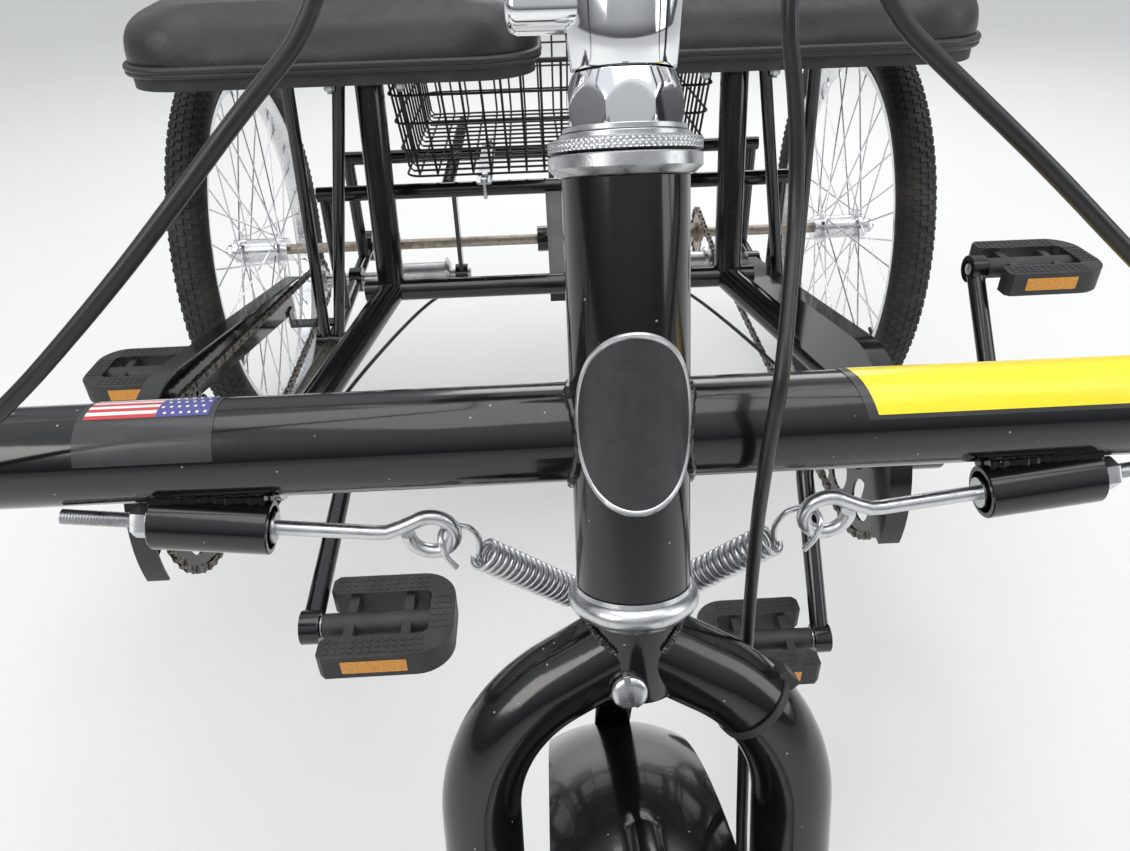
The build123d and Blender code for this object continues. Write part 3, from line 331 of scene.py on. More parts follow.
class Finish:
    """A node material whose detail comes from noise and cells in object space."""

    def __init__(self, name, color, rough, metal=0.0, **sockets):
        self.material = bpy.data.materials.new(name)
        self.material.use_nodes = True
        self.tree = self.material.node_tree
        self.shader = self.tree.nodes["Principled BSDF"]
        self.base = (*color, 1.0)
        sockets.update(Base_Color=self.base, Roughness=rough, Metallic=metal)
        for socket, value in sockets.items():
            self.shader.inputs[socket.replace("_", " ")].default_value = value
        self.coords = self.tree.nodes.new("ShaderNodeTexCoord").outputs["Object"]
        self.last_bump = None

    def noise(self, scale, detail, stretch=None):
        source = self.coords
        if stretch:
            mapping = make_node(self.tree, "Mapping", [("Vector", source)], [("Scale", stretch)])
            source = mapping.outputs["Vector"]
        values = [("Scale", scale), ("Detail", detail)]
        return make_node(self.tree, "TexNoise", [("Vector", source)], values).outputs["Fac"]

    def cells(self, scale, output="Distance"):
        node = make_node(self.tree, "TexVoronoi", [("Vector", self.coords)], [("Scale", scale)])
        return node.outputs[output]

    def tint(self, factor, color):
        """Mixes a colour over the base by a factor, over what was mixed before."""
        node = self.tree.nodes.new("ShaderNodeMix")
        node.data_type = "RGBA"
        slot = self.shader.inputs["Base Color"]
        if slot.is_linked:
            self.tree.links.new(slot.links[0].from_socket, node.inputs["A"])
        else:
            node.inputs["A"].default_value = self.base
        node.inputs["B"].default_value = (*color, 1.0)
        self.tree.links.new(factor, node.inputs["Factor"])
        self.tree.links.new(node.outputs["Result"], slot)
        return self

    def bump(self, height, strength, distance):
        wires = [("Height", height)]
        if self.last_bump:
            wires.append(("Normal", self.last_bump))
        values = [("Strength", strength), ("Distance", distance)]
        self.last_bump = make_node(self.tree, "Bump", wires, values).outputs["Normal"]
        self.tree.links.new(self.last_bump, self.shader.inputs["Normal"])
        return self

    def stain(self, scale, detail, low, high, amount, color):
        """Colour that shows by an amount where a noise passes from low to high."""
        return self.tint(remap(self.tree, self.noise(scale, detail), low, high, 0.0, amount), color)

    def uneven(self, scale, detail, low, high):
        """Roughness that runs from low to high over the middle of a noise."""
        out = remap(self.tree, self.noise(scale, detail), 0.25, 0.75, low, high)
        self.tree.links.new(out, self.shader.inputs["Roughness"])
        return self

    def grain(self, scale, detail, strength, distance, stretch=None):
        return self.bump(self.noise(scale, detail, stretch), strength, distance)

    def pebbles(self, scale, strength, distance):
        return self.bump(self.cells(scale), strength, distance)

    def specks(self, scale, size, share, color):
        """Scattered dots of dust, one at most to a cell."""
        dots = remap(self.tree, self.cells(scale), size * 0.5, size, 1.0, 0.0)
        chosen = remap(self.tree, self.cells(scale, "Color"), 1.0 - share, 1.001 - share, 0.0, 1.0)
        both = make_node(self.tree, "Math", [(0, dots), (1, chosen)], ())
        both.operation = "MULTIPLY"
        return self.tint(both.outputs["Value"], color)


PAINT = Finish("gloss_black_paint", (0.0045, 0.0045, 0.005), 0.14, Coat_Weight=0.25, Coat_Roughness=0.03)
PAINT.uneven(22.0, 5.0, 0.09, 0.22).grain(420.0, 1.0, 0.05, 0.0004)
PAINT.stain(9.0, 5.0, 0.52, 0.8, 0.2, (0.02, 0.0195, 0.0185))
PAINT.specks(300.0, 0.13, 0.22, (0.32, 0.31, 0.28)).specks(110.0, 0.06, 0.1, (0.4, 0.38, 0.33))

ZINC = Finish("bright_zinc", (0.62, 0.635, 0.65), 0.3, 1.0)
ZINC.stain(70.0, 4.0, 0.4, 0.7, 0.55, (0.46, 0.47, 0.47)).stain(300.0, 2.0, 0.6, 0.72, 0.5, (0.4, 0.36, 0.3))
ZINC.uneven(160.0, 4.0, 0.2, 0.42).grain(1300.0, 2.0, 0.12, 0.0002)

CHROME = Finish("polished_chrome", (0.84, 0.85, 0.87), 0.07, 1.0)
CHROME.uneven(45.0, 5.0, 0.03, 0.16).specks(420.0, 0.12, 0.12, (0.3, 0.28, 0.25))
CHROME.grain(180.0, 2.0, 0.03, 0.0003)

RUBBER = Finish("tyre_rubber", (0.016, 0.016, 0.017), 0.78)
RUBBER.stain(28.0, 6.0, 0.45, 0.75, 0.4, (0.075, 0.066, 0.052))
RUBBER.stain(600.0, 3.0, 0.6, 0.75, 0.5, (0.09, 0.08, 0.06))
RUBBER.uneven(90.0, 3.0, 0.62, 0.9).grain(1500.0, 4.0, 0.35, 0.0003)

SILVER = Finish("wheel_silver", (0.72, 0.73, 0.75), 0.24, 1.0)
SILVER.stain(55.0, 5.0, 0.5, 0.8, 0.5, (0.5, 0.48, 0.44))
SILVER.uneven(120.0, 4.0, 0.16, 0.36).grain(900.0, 2.0, 0.08, 0.0002)

VINYL = Finish("grained_vinyl", (0.0125, 0.0125, 0.0135), 0.4, Sheen_Weight=0.08)
VINYL.stain(12.0, 5.0, 0.45, 0.75, 0.5, (0.03, 0.029, 0.028)).uneven(60.0, 4.0, 0.34, 0.52)
VINYL.pebbles(620.0, 0.35, 0.0004).grain(240.0, 3.0, 0.18, 0.0006)
VINYL.specks(160.0, 0.05, 0.12, (0.22, 0.2, 0.17))

PLASTIC = Finish("moulded_plastic", (0.019, 0.019, 0.02), 0.5)
PLASTIC.stain(40.0, 5.0, 0.45, 0.75, 0.5, (0.06, 0.056, 0.05))
PLASTIC.uneven(80.0, 3.0, 0.42, 0.66).grain(1700.0, 2.0, 0.3, 0.0002)

GRIP = Finish("grip_rubber", (0.017, 0.017, 0.018), 0.68)
GRIP.uneven(70.0, 3.0, 0.6, 0.8).pebbles(1100.0, 0.3, 0.0003)
GRIP.stain(30.0, 4.0, 0.5, 0.8, 0.3, (0.05, 0.048, 0.045))

SHEATH = Finish("cable_sheath", (0.011, 0.011, 0.012), 0.34)
SHEATH.uneven(110.0, 4.0, 0.26, 0.5).grain(700.0, 2.0, 0.12, 0.0002)
SHEATH.specks(520.0, 0.12, 0.1, (0.3, 0.29, 0.26))

CHAIN = Finish("oiled_chain", (0.2, 0.185, 0.17), 0.42, 1.0)
CHAIN.stain(240.0, 4.0, 0.45, 0.7, 0.75, (0.05, 0.042, 0.034))
CHAIN.uneven(300.0, 3.0, 0.3, 0.6).grain(1500.0, 2.0, 0.2, 0.0002)

ALLOY = Finish("satin_alloy", (0.66, 0.66, 0.67), 0.3, 1.0)
ALLOY.stain(80.0, 4.0, 0.45, 0.75, 0.6, (0.4, 0.38, 0.35))
ALLOY.uneven(120.0, 3.0, 0.24, 0.46).grain(260.0, 2.0, 0.1, 0.0002, (8.0, 1.0, 1.0))

AXLE = Finish("plated_axle_steel", (0.42, 0.37, 0.31), 0.36, 1.0)
AXLE.stain(130.0, 5.0, 0.5, 0.7, 0.7, (0.2, 0.12, 0.07))
AXLE.uneven(90.0, 4.0, 0.28, 0.6).grain(200.0, 3.0, 0.12, 0.0002, (0.3, 4.0, 4.0))

WIRE = Finish("coated_wire", (0.013, 0.013, 0.014), 0.42)
WIRE.uneven(60.0, 3.0, 0.34, 0.56).grain(900.0, 2.0, 0.15, 0.0002)
WIRE.stain(25.0, 5.0, 0.5, 0.8, 0.4, (0.045, 0.042, 0.038))

AMBER = Finish(
    "amber_lens", (0.95, 0.4, 0.015), 0.14,
    Transmission_Weight=0.25, IOR=1.49, Coat_Weight=0.5, Coat_Roughness=0.05,
)
AMBER.pebbles(420.0, 0.6, 0.0008)
AMBER.tint(remap(AMBER.tree, AMBER.cells(420.0), 0.1, 0.6, 0.0, 0.3), (0.5, 0.14, 0.004))

BADGE = Finish("badge_enamel", (0.03, 0.031, 0.033), 0.32)
BADGE.stain(180.0, 4.0, 0.5, 0.75, 0.3, (0.06, 0.06, 0.06))
BADGE.uneven(300.0, 3.0, 0.3, 0.46).grain(900.0, 3.0, 0.2, 0.0002)


def label_film(name, color, rough=0.3):
    made = Finish(name, color, rough, Coat_Weight=0.4, Coat_Roughness=0.12)
    made.uneven(50.0, 4.0, rough - 0.06, rough + 0.12)
    made.stain(30.0, 5.0, 0.55, 0.85, 0.18, (0.25, 0.22, 0.15)).grain(260.0, 3.0, 0.04, 0.0002)
    return made


SLOT_FINISH = {
    "tyre_rubber": RUBBER, "wheel_silver": SILVER, "seat_vinyl": VINYL, "black_plastic": PLASTIC,
    "grip_rubber": GRIP, "cable_black": SHEATH, "zinc_plate": ZINC, "chrome_plate": CHROME,
    "chain_steel": CHAIN, "hub_alloy": ALLOY, "axle_steel": AXLE, "basket_black": WIRE,
    "frame_black": PAINT,
}
for part in frame["record"]["subparts"]:
    node = frame["nodes"][part["node"]]
    node.data.materials.clear()
    node.data.materials.append(SLOT_FINISH[part["material_slot"]].material)


# Headset: two cups, knurled ring, washers, domed locknut and the stem's foot
CUP_R = 0.0227
CUP_BORE_R = 0.0175
LOWER_CUP_H = 0.0112
LOWER_CUP_TOP = 0.0073
UPPER_CUP_H = 0.0060
STACK_GAP = 0.0005
RING_BORE_R = 0.0136
KNURL_H = 0.0038
KNURL_TEETH = 84
KNURL_DEPTH = 0.0005
WASHER_H = 0.0034
WASHER_T = 0.0015
LOCKNUT_H = 0.0146
LOCKNUT_HALF_FLAT = 0.0163
LOCKNUT_BORE_R = 0.0131
LOCKNUT_DOME_UP = 0.0055
KNURL_UP = HEAD_LEN + UPPER_CUP_H + STACK_GAP
LOCKNUT_UP = KNURL_UP + KNURL_H + WASHER_H
STEM_FOOT_UP = LOCKNUT_UP + LOCKNUT_H + 0.0004


def headset_cups():
    upper = [
        (0.0, CUP_BORE_R), (0.0, 0.0199), (0.0004, 0.0205), (0.0020, 0.0224), (0.0023, CUP_R),
        (0.0056, CUP_R), (UPPER_CUP_H, 0.0223), (UPPER_CUP_H, CUP_BORE_R),
    ]
    lower = [(0.0, CUP_BORE_R), (0.0, 0.0194), (-0.0015, 0.0198)]
    lower += [(-0.0053 + 0.0038 * math.sin(a), 0.0190 + 0.0031 * math.cos(a)) for a in arc(90.0, -90.0, 9)]
    lower += [(0.0019 - LOWER_CUP_H, 0.0186), (0.0005 - LOWER_CUP_H, 0.0182)]
    lower += [(-LOWER_CUP_H, 0.0176), (-LOWER_CUP_H, 0.0150)]
    shape = Shape()
    shape.lathe(at_steer(0.0, 0.0, HEAD_LEN), STEER_UP, upper, 96, hollow=True)
    shape.lathe(at_steer(0.0, 0.0, LOWER_CUP_TOP), STEER_UP, lower, 96, hollow=True)
    piece("headset_cup_pair", shape, ZINC, "frame", ("headset_cups",))


def head_tube():
    """Head tube from one cup's seat to the other."""
    profile = collar(LOWER_CUP_TOP + 0.0001, HEAD_LEN - 0.0001, HEAD_BORE_R, HEAD_R, 0.0003)
    shape = Shape().lathe(STEER_FOOT, STEER_UP, profile, 96, hollow=True)
    piece("head_tube_skin", shape, PAINT, "frame", ("head_tube",))


def steer_ring(up, radii):
    """Ring of points round the steering axis, with a radius for each."""
    first, second = side_axes(STEER_UP)
    centre = at_steer(0.0, 0.0, up)
    return [centre + turned(first, second, a) * r for a, r in zip(full_turn(len(radii)), radii)]


def knurled_ring():
    """Adjusting ring whose rim carries a diamond knurl between two plain lips."""
    around = KNURL_TEETH * 4

    def saw(value):
        return 1.0 - abs(2.0 * (value % 1.0) - 1.0)

    def lips(rows):
        return [steer_ring(KNURL_UP + up, [radius] * around) for up, radius in rows]

    rings = lips(((0.0, RING_BORE_R), (0.0, CUP_R - 0.0008), (0.0004, CUP_R - 0.0003)))
    for t in spread(0.0, 1.0, 19):
        diamonds = [min(saw(i / 4.0 + 2.0 * t), saw(i / 4.0 - 2.0 * t), 0.5) for i in range(around)]
        radii = [CUP_R - KNURL_DEPTH + KNURL_DEPTH * 2.0 * diamond for diamond in diamonds]
        rings.append(steer_ring(KNURL_UP + 0.0004 + (KNURL_H - 0.0008) * t, radii))
    rings += lips(((KNURL_H - 0.0004, CUP_R - 0.0005), (KNURL_H, CUP_R - 0.0012), (KNURL_H, RING_BORE_R)))
    piece("headset_knurled_ring", Shape().skin(rings, closed=True), ZINC, "steering", sharp=50.0)


def locknut():
    """Two thin washers and an eight-sided nut cut by a dome."""
    washers = Shape()
    for start, radius in ((0.0, 0.0192), (0.0018, 0.0182)):
        low = KNURL_UP + KNURL_H + start
        profile = collar(low, low + WASHER_T, RING_BORE_R, radius, 0.0002)
        washers.lathe(STEER_FOOT, STEER_UP, profile, 72, hollow=True)
    piece("headset_washers", washers, ZINC, "steering")

    around = 240
    sector = math.pi / 4.0
    facets = []
    for angle in full_turn(around):
        facets.append(LOCKNUT_HALF_FLAT / math.cos((angle + sector / 2.0) % sector - sector / 2.0))
    rings = []
    for height in [0.0, 0.0003, 0.0020, 0.0040] + spread(0.0056, 0.0136, 11) + [0.0142, LOCKNUT_H]:
        over = max(0.0, (height - LOCKNUT_DOME_UP) / (LOCKNUT_H - LOCKNUT_DOME_UP))
        edge = 0.0003 if height == LOCKNUT_H else 0.0
        dome = 0.0177 + min(0.0, height * 0.5 - 0.0004) - 0.0030 * over ** 1.25 - edge
        rings.append(steer_ring(LOCKNUT_UP + height, [min(facet, dome) for facet in facets]))
    for up in (LOCKNUT_UP + LOCKNUT_H, LOCKNUT_UP):
        rings.append(steer_ring(up, [LOCKNUT_BORE_R] * around))
    shape = Shape().skin(rings, closed=True)
    piece("headset_domed_locknut", shape, CHROME, "steering", ("headset_locknut",), 24.0)


def stem_taper():
    """Cast skin of the stem, widening from the locknut to the bar."""
    profile = [
        (0.0, 0.0142), (0.0, 0.0147), (0.0005, 0.0152), (0.0100, 0.0164), (0.0200, 0.0173),
        (0.0400, 0.0178), (0.0780, 0.0180), (0.0785, 0.0175), (0.0785, 0.0142),
    ]
    shape = Shape().lathe(at_steer(0.0, 0.0, STEM_FOOT_UP), STEER_UP, profile, 72, hollow=True)
    piece("stem_taper", shape, CHROME, "steering")


def stem_lug():
    """Chrome clamp block with its bolt on the stem's right side."""
    up = 0.1910
    rings = []
    for x, inset in ((-0.0110, 0.0), (-0.0300, 0.0), (-0.0318, 0.0006), (-0.0328, 0.0018), (-0.0330, 0.0040)):
        outline = rounded_rectangle(0.0105 - inset, 0.0140 - inset, 0.0045)
        rings.append([at_steer(x, a, up + b) for a, b in outline])
    shape = Shape().skin(rings).nut(at_steer(-0.0329, 0.0, up), -X_AXIS, 0.010, 0.005)
    piece("stem_clamp_block", shape, CHROME, "steering")


# Fork: crown under the lower cup and two legs that meet in it as a pointed arch
def leg_top(across, normal=0.0):
    """Height of the leg's sloped top at a distance across, offset along its normal."""
    level = LEG_ARCH_UP - LEG_ARCH_R + (LEG_ARCH_R + normal) / math.cos(LEG_SLOPE)
    return level - (across - LEG_X + LEG_ARCH_R) * math.tan(LEG_SLOPE)


def leg_arch(angle, sign=1.0):
    """Point on a leg's arched middle at an angle from its crest."""
    across = LEG_X - LEG_ARCH_R + LEG_ARCH_R * math.sin(angle)
    return at_steer(sign * across, 0.0, LEG_ARCH_UP - LEG_ARCH_R + LEG_ARCH_R * math.cos(angle))


def fork_crown():
    """Crown under the lower cup, its steerer and the plate that the springs hook into."""
    low = CROWN_FOOT
    high = LOWER_CUP_TOP - LOWER_CUP_H - STACK_GAP
    profile = [
        (low, CROWN_R - 0.0022), (low + 0.0008, CROWN_R - 0.0006), (low + 0.0022, CROWN_R),
        (high - 0.0008, CROWN_R), (high, CROWN_R - 0.0008), (high, STEERER_R), (HEAD_LEN + 0.02, STEERER_R),
    ]
    shape = Shape().lathe(STEER_FOOT, STEER_UP, profile, 96)
    seat = at_steer(0.0, TAB_BACK - 0.013, TAB_UP - TAB_T / 2.0)
    shape.plate(rounded_rectangle(0.011, 0.017, 0.003, 5), seat, X_AXIS, STEER_BACK, TAB_T)
    piece("fork_crown_skin", shape, PAINT, "steering", ("fork_crown",), 30.0)


def fork_legs():
    """Legs that slope out of the crown, arch down, rake forward and taper to their ends."""
    for side, sign in SIDES:
        points = [at_steer(sign * across, 0.0, leg_top(across)) for across in (0.004, 0.010, 0.018)]
        points += [leg_arch(angle, sign) for angle in spread(LEG_SLOPE, math.pi / 2.0, 25)]
        bend = at_steer(sign * LEG_X, 0.0, LEG_BEND_UP)
        end = FRONT_AXLE + X_AXIS * sign * LEG_X
        run = (end - bend).length
        rake = (end - bend) / run
        before = bend + STEER_UP * LEG_BEND_RUN
        after = bend + rake * LEG_BEND_RUN
        for t in spread(0.0, 1.0, 13):
            points.append(before * (1.0 - t) ** 2 + bend * 2.0 * t * (1.0 - t) + after * t * t)
        radii = [LEG_R] * len(points)
        points += [bend + rake * run * 0.35, bend + rake * (run - 0.010), bend + rake * (run - 0.006)]
        radii += [LEG_R, LEG_TIP_R, LEG_TIP_R - 0.002]
        shape = Shape().tube(points, LEG_R, 48, radii=radii)
        for eye, radius in ((end, 0.013), (end + STAY_EAR, 0.007)):
            shape.disc(eye - X_AXIS * 0.0025, X_AXIS, radius, 0.005, 48)
        piece("fork_blade_" + side, shape, PAINT, "steering", ("fork_leg_" + side,))


def bead(shape, path, radius, closed=False):
    """Weld bead: a tube whose thickness ripples along its way."""
    radii = []
    for k in range(len(path)):
        radii.append(radius * (1.0 + 0.15 * math.sin(k * 1.9) + 0.08 * math.sin(k * 0.7)))
    shape.tube(path, radius, 8, closed=closed, radii=radii)


def crown_welds():
    """Beads where the fork legs leave the crown."""
    proud = 0.0003
    shape = Shape()
    for sign in SIGNS:
        path = []
        for angle in arc(0.0, 70.0, 44):
            back = -(LEG_R + proud) * math.sin(angle)
            across = math.sqrt((CROWN_R + proud) ** 2 - back * back)
            path.append(at_steer(sign * across, back, leg_top(across, (LEG_R + proud) * math.cos(angle))))
        bead(shape, path, 0.0013)
    piece("crown_welds", shape, PAINT, "steering")


def crown_bolt():
    """Slotted, domed screw head on the crown's front."""
    head_r = 0.0059
    slot_half = 0.0011
    slot_turn = math.asin(0.18)
    out = -STEER_BACK
    seat = at_steer(-0.0035, -CROWN_R + 0.0002, -0.0256)
    rim = [(0.0, head_r), (0.0014, head_r), (0.0016, head_r - 0.0004)]
    shape = Shape().lathe(seat - out * 0.0008, out, rim, 48)
    first = turned(STEER_UP, -X_AXIS, math.radians(9.0))
    second = first.cross(out)
    for sign in (1, -1):
        angles = spread(slot_turn, math.pi - slot_turn, 25)
        outline = [(math.cos(angle) * head_r, math.sin(angle) * head_r) for angle in angles]
        rings = []
        for height, scale in ((0.0008, 1.0), (0.0016, 0.98), (0.0021, 0.9), (0.0025, 0.76), (0.0027, 0.55)):
            ring = []
            for a, b in outline[::sign]:
                away = sign * (slot_half + (b - slot_half) * scale)
                ring.append(seat + first * a * scale + second * away + out * height)
            rings.append(ring)
        shape.skin(rings)
    piece("crown_bolt", shape, ZINC, "steering", sharp=30.0)


def zip_tie():
    """Band round the fork's arch and the cable behind it, with its square head."""
    corner = math.radians(41.0)
    half_band = 0.0013
    band_t = 0.0009
    half_back = LEG_R + 0.0026
    half_out = LEG_R + 0.0002
    out = turned(X_AXIS, STEER_UP, corner)
    along = turned(STEER_UP, -X_AXIS, corner)
    middle = leg_arch(math.pi / 2.0 - corner) + STEER_BACK * 0.0022
    rings = []
    for angle in full_turn(72):
        here = middle + STEER_BACK * half_back * math.cos(angle) + out * half_out * math.sin(angle)
        away = turned(STEER_BACK / half_back, out / half_out, angle).normalized() * band_t
        low = here - along * half_band
        high = here + along * half_band
        rings.append([low, high, high + away, low + away])
    shape = Shape().skin(rings, closed=True)
    head = middle + out * (half_out + 0.0022) - STEER_BACK * 0.003
    shape.plate(rounded_rectangle(0.0038, 0.0036, 0.0006, 3), head, STEER_BACK, along, -0.0046)
    tail = head + out * 0.004
    shape.tube([tail, tail + out * 0.004 + STEER_BACK * 0.001], 0.0011, 6)
    piece("cable_zip_tie", shape, PLASTIC, "steering")


# Head badge: a blank oval plate wrapped round the tube's front, with a raised rim
BADGE_UP = 0.0655
BADGE_HALF_H = 0.0283
BADGE_HALF_ARC = 0.0212


def badge_point(across, up, lift):
    """Point on the head tube's front, by shares of the oval's half width and half height."""
    out = turned(-STEER_BACK, X_AXIS, across * BADGE_HALF_ARC / HEAD_R)
    return at_steer(0.0, 0.0, BADGE_UP + up * BADGE_HALF_H) + out * (HEAD_R + lift)


def head_badge():
    bands = (
        # share of the oval, lift off the tube
        (1.000, 0.0001), (0.995, 0.0009), (0.975, 0.0013), (0.945, 0.0012), (0.93, 0.0008), (0.93, 0.0001),
    )
    rings = []
    for share, lift in bands:
        rings.append([badge_point(share * math.cos(a), share * math.sin(a), lift) for a in full_turn(96)])
    piece("head_badge_rim", Shape().skin(rings, closed=True), ZINC, "frame")
    rows = []
    for up in spread(-0.995, 0.995, 57):
        reach = 0.94 * math.sqrt(1.0 - up * up)
        rows.append([badge_point(across, 0.94 * up, 0.0007) for across in spread(-reach, reach, 41)])
    piece("head_badge_face", Shape().sheet(rows), BADGE, "frame")


# Crossbar: two tubes welded to the head tube, each with a hollow bracket welded below it
BRACKET_X = 0.1365
BRACKET_LEN = 0.0368
BRACKET_R = 0.009
BRACKET_WALL = 0.0018
BRACKET_DROP = 0.0243
BRACKET_FRONT = 0.006
BOLT_LEVEL_X = 0.142
BOLT_TILT = math.tan(math.radians(7.7))
BOLT_END_X = 0.1835
BOLT_R = 0.0025
EYE_X = 0.067
EYE_R = 0.0078
CROSS_AT = at_steer(0.0, 0.0, CROSSBAR_UP)
BAR_AT = at_steer(0.0, BAR_BACK, BAR_UP)


def bar_end(side, sign):
    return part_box("crossbar_" + side)[1 if sign > 0 else 0].x


def bolt_point(sign, x):
    """Point on the axis of one eye bolt, which drops towards the head tube."""
    return CROSS_AT + Vector((sign * x, -BRACKET_FRONT, (x - BOLT_LEVEL_X) * BOLT_TILT - BRACKET_DROP))


def around_bar(angle, lift=0.0):
    """Across, back and up of the cope's edge at an angle round the crossbar."""
    back = BAR_BACK + (BAR_R + lift) * math.sin(angle)
    across = math.sqrt(max(0.0, (HEAD_R + lift * 0.5) ** 2 - back * back))
    return across, back, BAR_UP + (BAR_R + lift) * math.cos(angle)


def bracket_seam(sign, way):
    """Line along one side of the bracket where it touches the crossbar."""
    seam = []
    for share in spread(-0.5, 0.5, 34):
        x = BRACKET_X + BRACKET_LEN * share * 0.97
        gap = bolt_point(sign, x) - BAR_AT
        gap.x = 0.0
        dist = gap.length
        unit = gap / dist
        reach = (dist ** 2 + BAR_R ** 2 - BRACKET_R ** 2) / (2.0 * dist)
        half = max(0.0032, math.sqrt(max(0.0, BAR_R ** 2 - reach ** 2)))
        seam.append(BAR_AT + X_AXIS * sign * x + unit * reach + Vector((0.0, unit.z, -unit.y)) * half * way)
    return seam


def crossbar():
    bevel = 0.0006
    tubes = Shape()
    beads = Shape()
    for side, sign in SIDES:
        along = X_AXIS * sign
        rings = []
        edge = []
        for angle in full_turn(72):
            out = turned(STEER_UP, STEER_BACK, angle)
            start = along * (around_bar(angle)[0] - 0.0004)
            outer = BAR_AT + X_AXIS * bar_end(side, sign) + out * BAR_R
            inner = outer - out * BAR_WALL
            rings.append([
                BAR_AT + out * BAR_R + start, outer - along * bevel, outer - out * bevel,
                inner, inner - along * 0.02, BAR_AT + out * (BAR_R - BAR_WALL) + start,
            ])
            across, back, up = around_bar(angle, bevel)
            edge.append(at_steer(sign * across, back, up))
        tubes.skin(rings, closed=True)
        bead(beads, edge, 0.0015, closed=True)
        start = bolt_point(sign, BRACKET_X - BRACKET_LEN / 2)
        reach = bolt_point(sign, BRACKET_X + BRACKET_LEN / 2) - start
        profile = collar(0.0, reach.length, BRACKET_R - BRACKET_WALL, BRACKET_R, 0.0004)
        tubes.lathe(start, reach, profile, 44, hollow=True)
        for way in (-1.0, 1.0):
            bead(beads, bracket_seam(sign, way), 0.0023)
    piece("crossbar_tubes", tubes, PAINT, "frame", ("crossbar_left", "crossbar_right"), 30.0)
    piece("crossbar_welds", beads, PAINT, "frame")


def bar_plugs():
    """Round plastic plugs in the crossbar's open ends."""
    profile = [(-0.002, 0.0140), (0.0002, 0.0152), (0.0016, 0.0148), (0.0022, 0.0120), (0.0024, 0.0020)]
    shape = Shape()
    for side, sign in SIDES:
        seat = Vector((bar_end(side, sign) - sign * 0.0026, BAR_AT.y, BAR_AT.z))
        shape.lathe(seat, X_AXIS * sign, profile, 40)
    piece("crossbar_end_plugs", shape, PLASTIC, "frame")


# Eye bolts: bent eye, plain shank, thread, nut and washers at the bracket's ends
def eye_bolts():
    plain = 0.022
    pitch = 0.0009
    shape = Shape()
    for sign in SIGNS:
        eye_at = bolt_point(sign, EYE_X)
        out = (bolt_point(sign, BOLT_END_X) - eye_at).normalized()
        down = (out * out.z - Z_AXIS).normalized()
        path = [bolt_point(sign, BRACKET_X - 0.004), eye_at + out * 0.0185]
        path += [eye_at + out * 0.0145 - down * 0.0004, eye_at + out * 0.0098 - down * 0.0029]
        for rise, angle in zip(spread(0.0, 0.0014, 49), arc(-50.0, -352.0, 49)):
            path.append(eye_at + turned(out, down, angle) * EYE_R + Y_AXIS * rise)
        shape.tube(path, BOLT_R, 14)
        start = bolt_point(sign, BRACKET_X)
        reach = (bolt_point(sign, BOLT_END_X) - start).length
        profile = [(0.0, BOLT_R)]
        turns = int((reach - plain) / pitch)
        for i in range(turns):
            here = plain + (reach - plain) * i / turns
            profile += [(here + 0.0002, BOLT_R * 0.84), (here + 0.0006, BOLT_R * 1.02)]
        profile.append((reach, BOLT_R * 0.8))
        shape.lathe(start, out, profile, 18)
        seat = bolt_point(sign, BRACKET_X + BRACKET_LEN / 2 + 0.0003)
        shape.disc(seat, out, 0.0058, 0.001, 28)
        shape.nut(seat + out * 0.001, out, 0.0098, 0.005)
        shape.disc(bolt_point(sign, BRACKET_X - BRACKET_LEN / 2 - 0.0003), -out, 0.0052, 0.0009, 28)
    piece("eye_bolt_pair", shape, ZINC, "frame", ("eye_bolts",))


# Centring springs: close coils with a hook at each end, running from frame to steering
COIL_R = 0.0052
COIL_WIRE = 0.00107
COILS = 17
COIL_SIDES = 20
COIL_START = (-0.0158, 0.0061, -0.0147)
HOOK_ROUTE = (
    # outward, along and up from the eye's middle
    (-0.0140, 0.0078, -0.0190), (-0.0153, 0.0071, -0.0109), (-0.0148, 0.0051, -0.0050),
    (-0.0125, 0.0044, -0.0010), (-0.0095, 0.0044, 0.0002), (-0.0060, 0.0042, 0.0008),
    (-0.0034, 0.0010, 0.0012), (-0.0033, -0.0036, 0.0008), (-0.0041, -0.0047, -0.0026),
    (-0.0048, -0.0048, -0.0062), (-0.0076, -0.0040, -0.0112),
)


def centring_springs():
    for side, sign in SIDES:
        eye_at = bolt_point(sign, EYE_X)
        top = eye_at + Vector((sign * COIL_START[0], *COIL_START[1:]))
        foot = at_steer(0.0, TAB_BACK, TAB_UP) + Vector((sign * 0.016, 0.0, 0.006))
        along = (foot - top).normalized()
        length = (foot - top).length
        first, second = side_axes(along)
        hook = [eye_at + Vector((sign * a, b, c)) for a, b, c in HOOK_ROUTE]
        away = hook[0] - top
        phase = math.atan2(away.dot(second), away.dot(first))
        path = smooth_route(hook)[::-1]
        steps = COILS * COIL_SIDES
        for i in range(steps + 1):
            turn = i / COIL_SIDES
            grow = min(1.0, 0.45 + (COILS - turn) * 0.9)
            out = turned(first, second, phase + sign * 2.0 * math.pi * turn)
            path.append(top + along * (length - 0.0055) * i / steps + out * COIL_R * grow)
        path += [foot - along * 0.003, foot, at_steer(sign * 0.009, TAB_BACK - 0.002, TAB_UP + 0.0039)]
        shape = Shape().tube(path, COIL_WIRE, 8)
        spring = piece("centring_coil_" + side, shape, ZINC, None, ("centering_spring_" + side,), 60.0)
        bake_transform(spring)


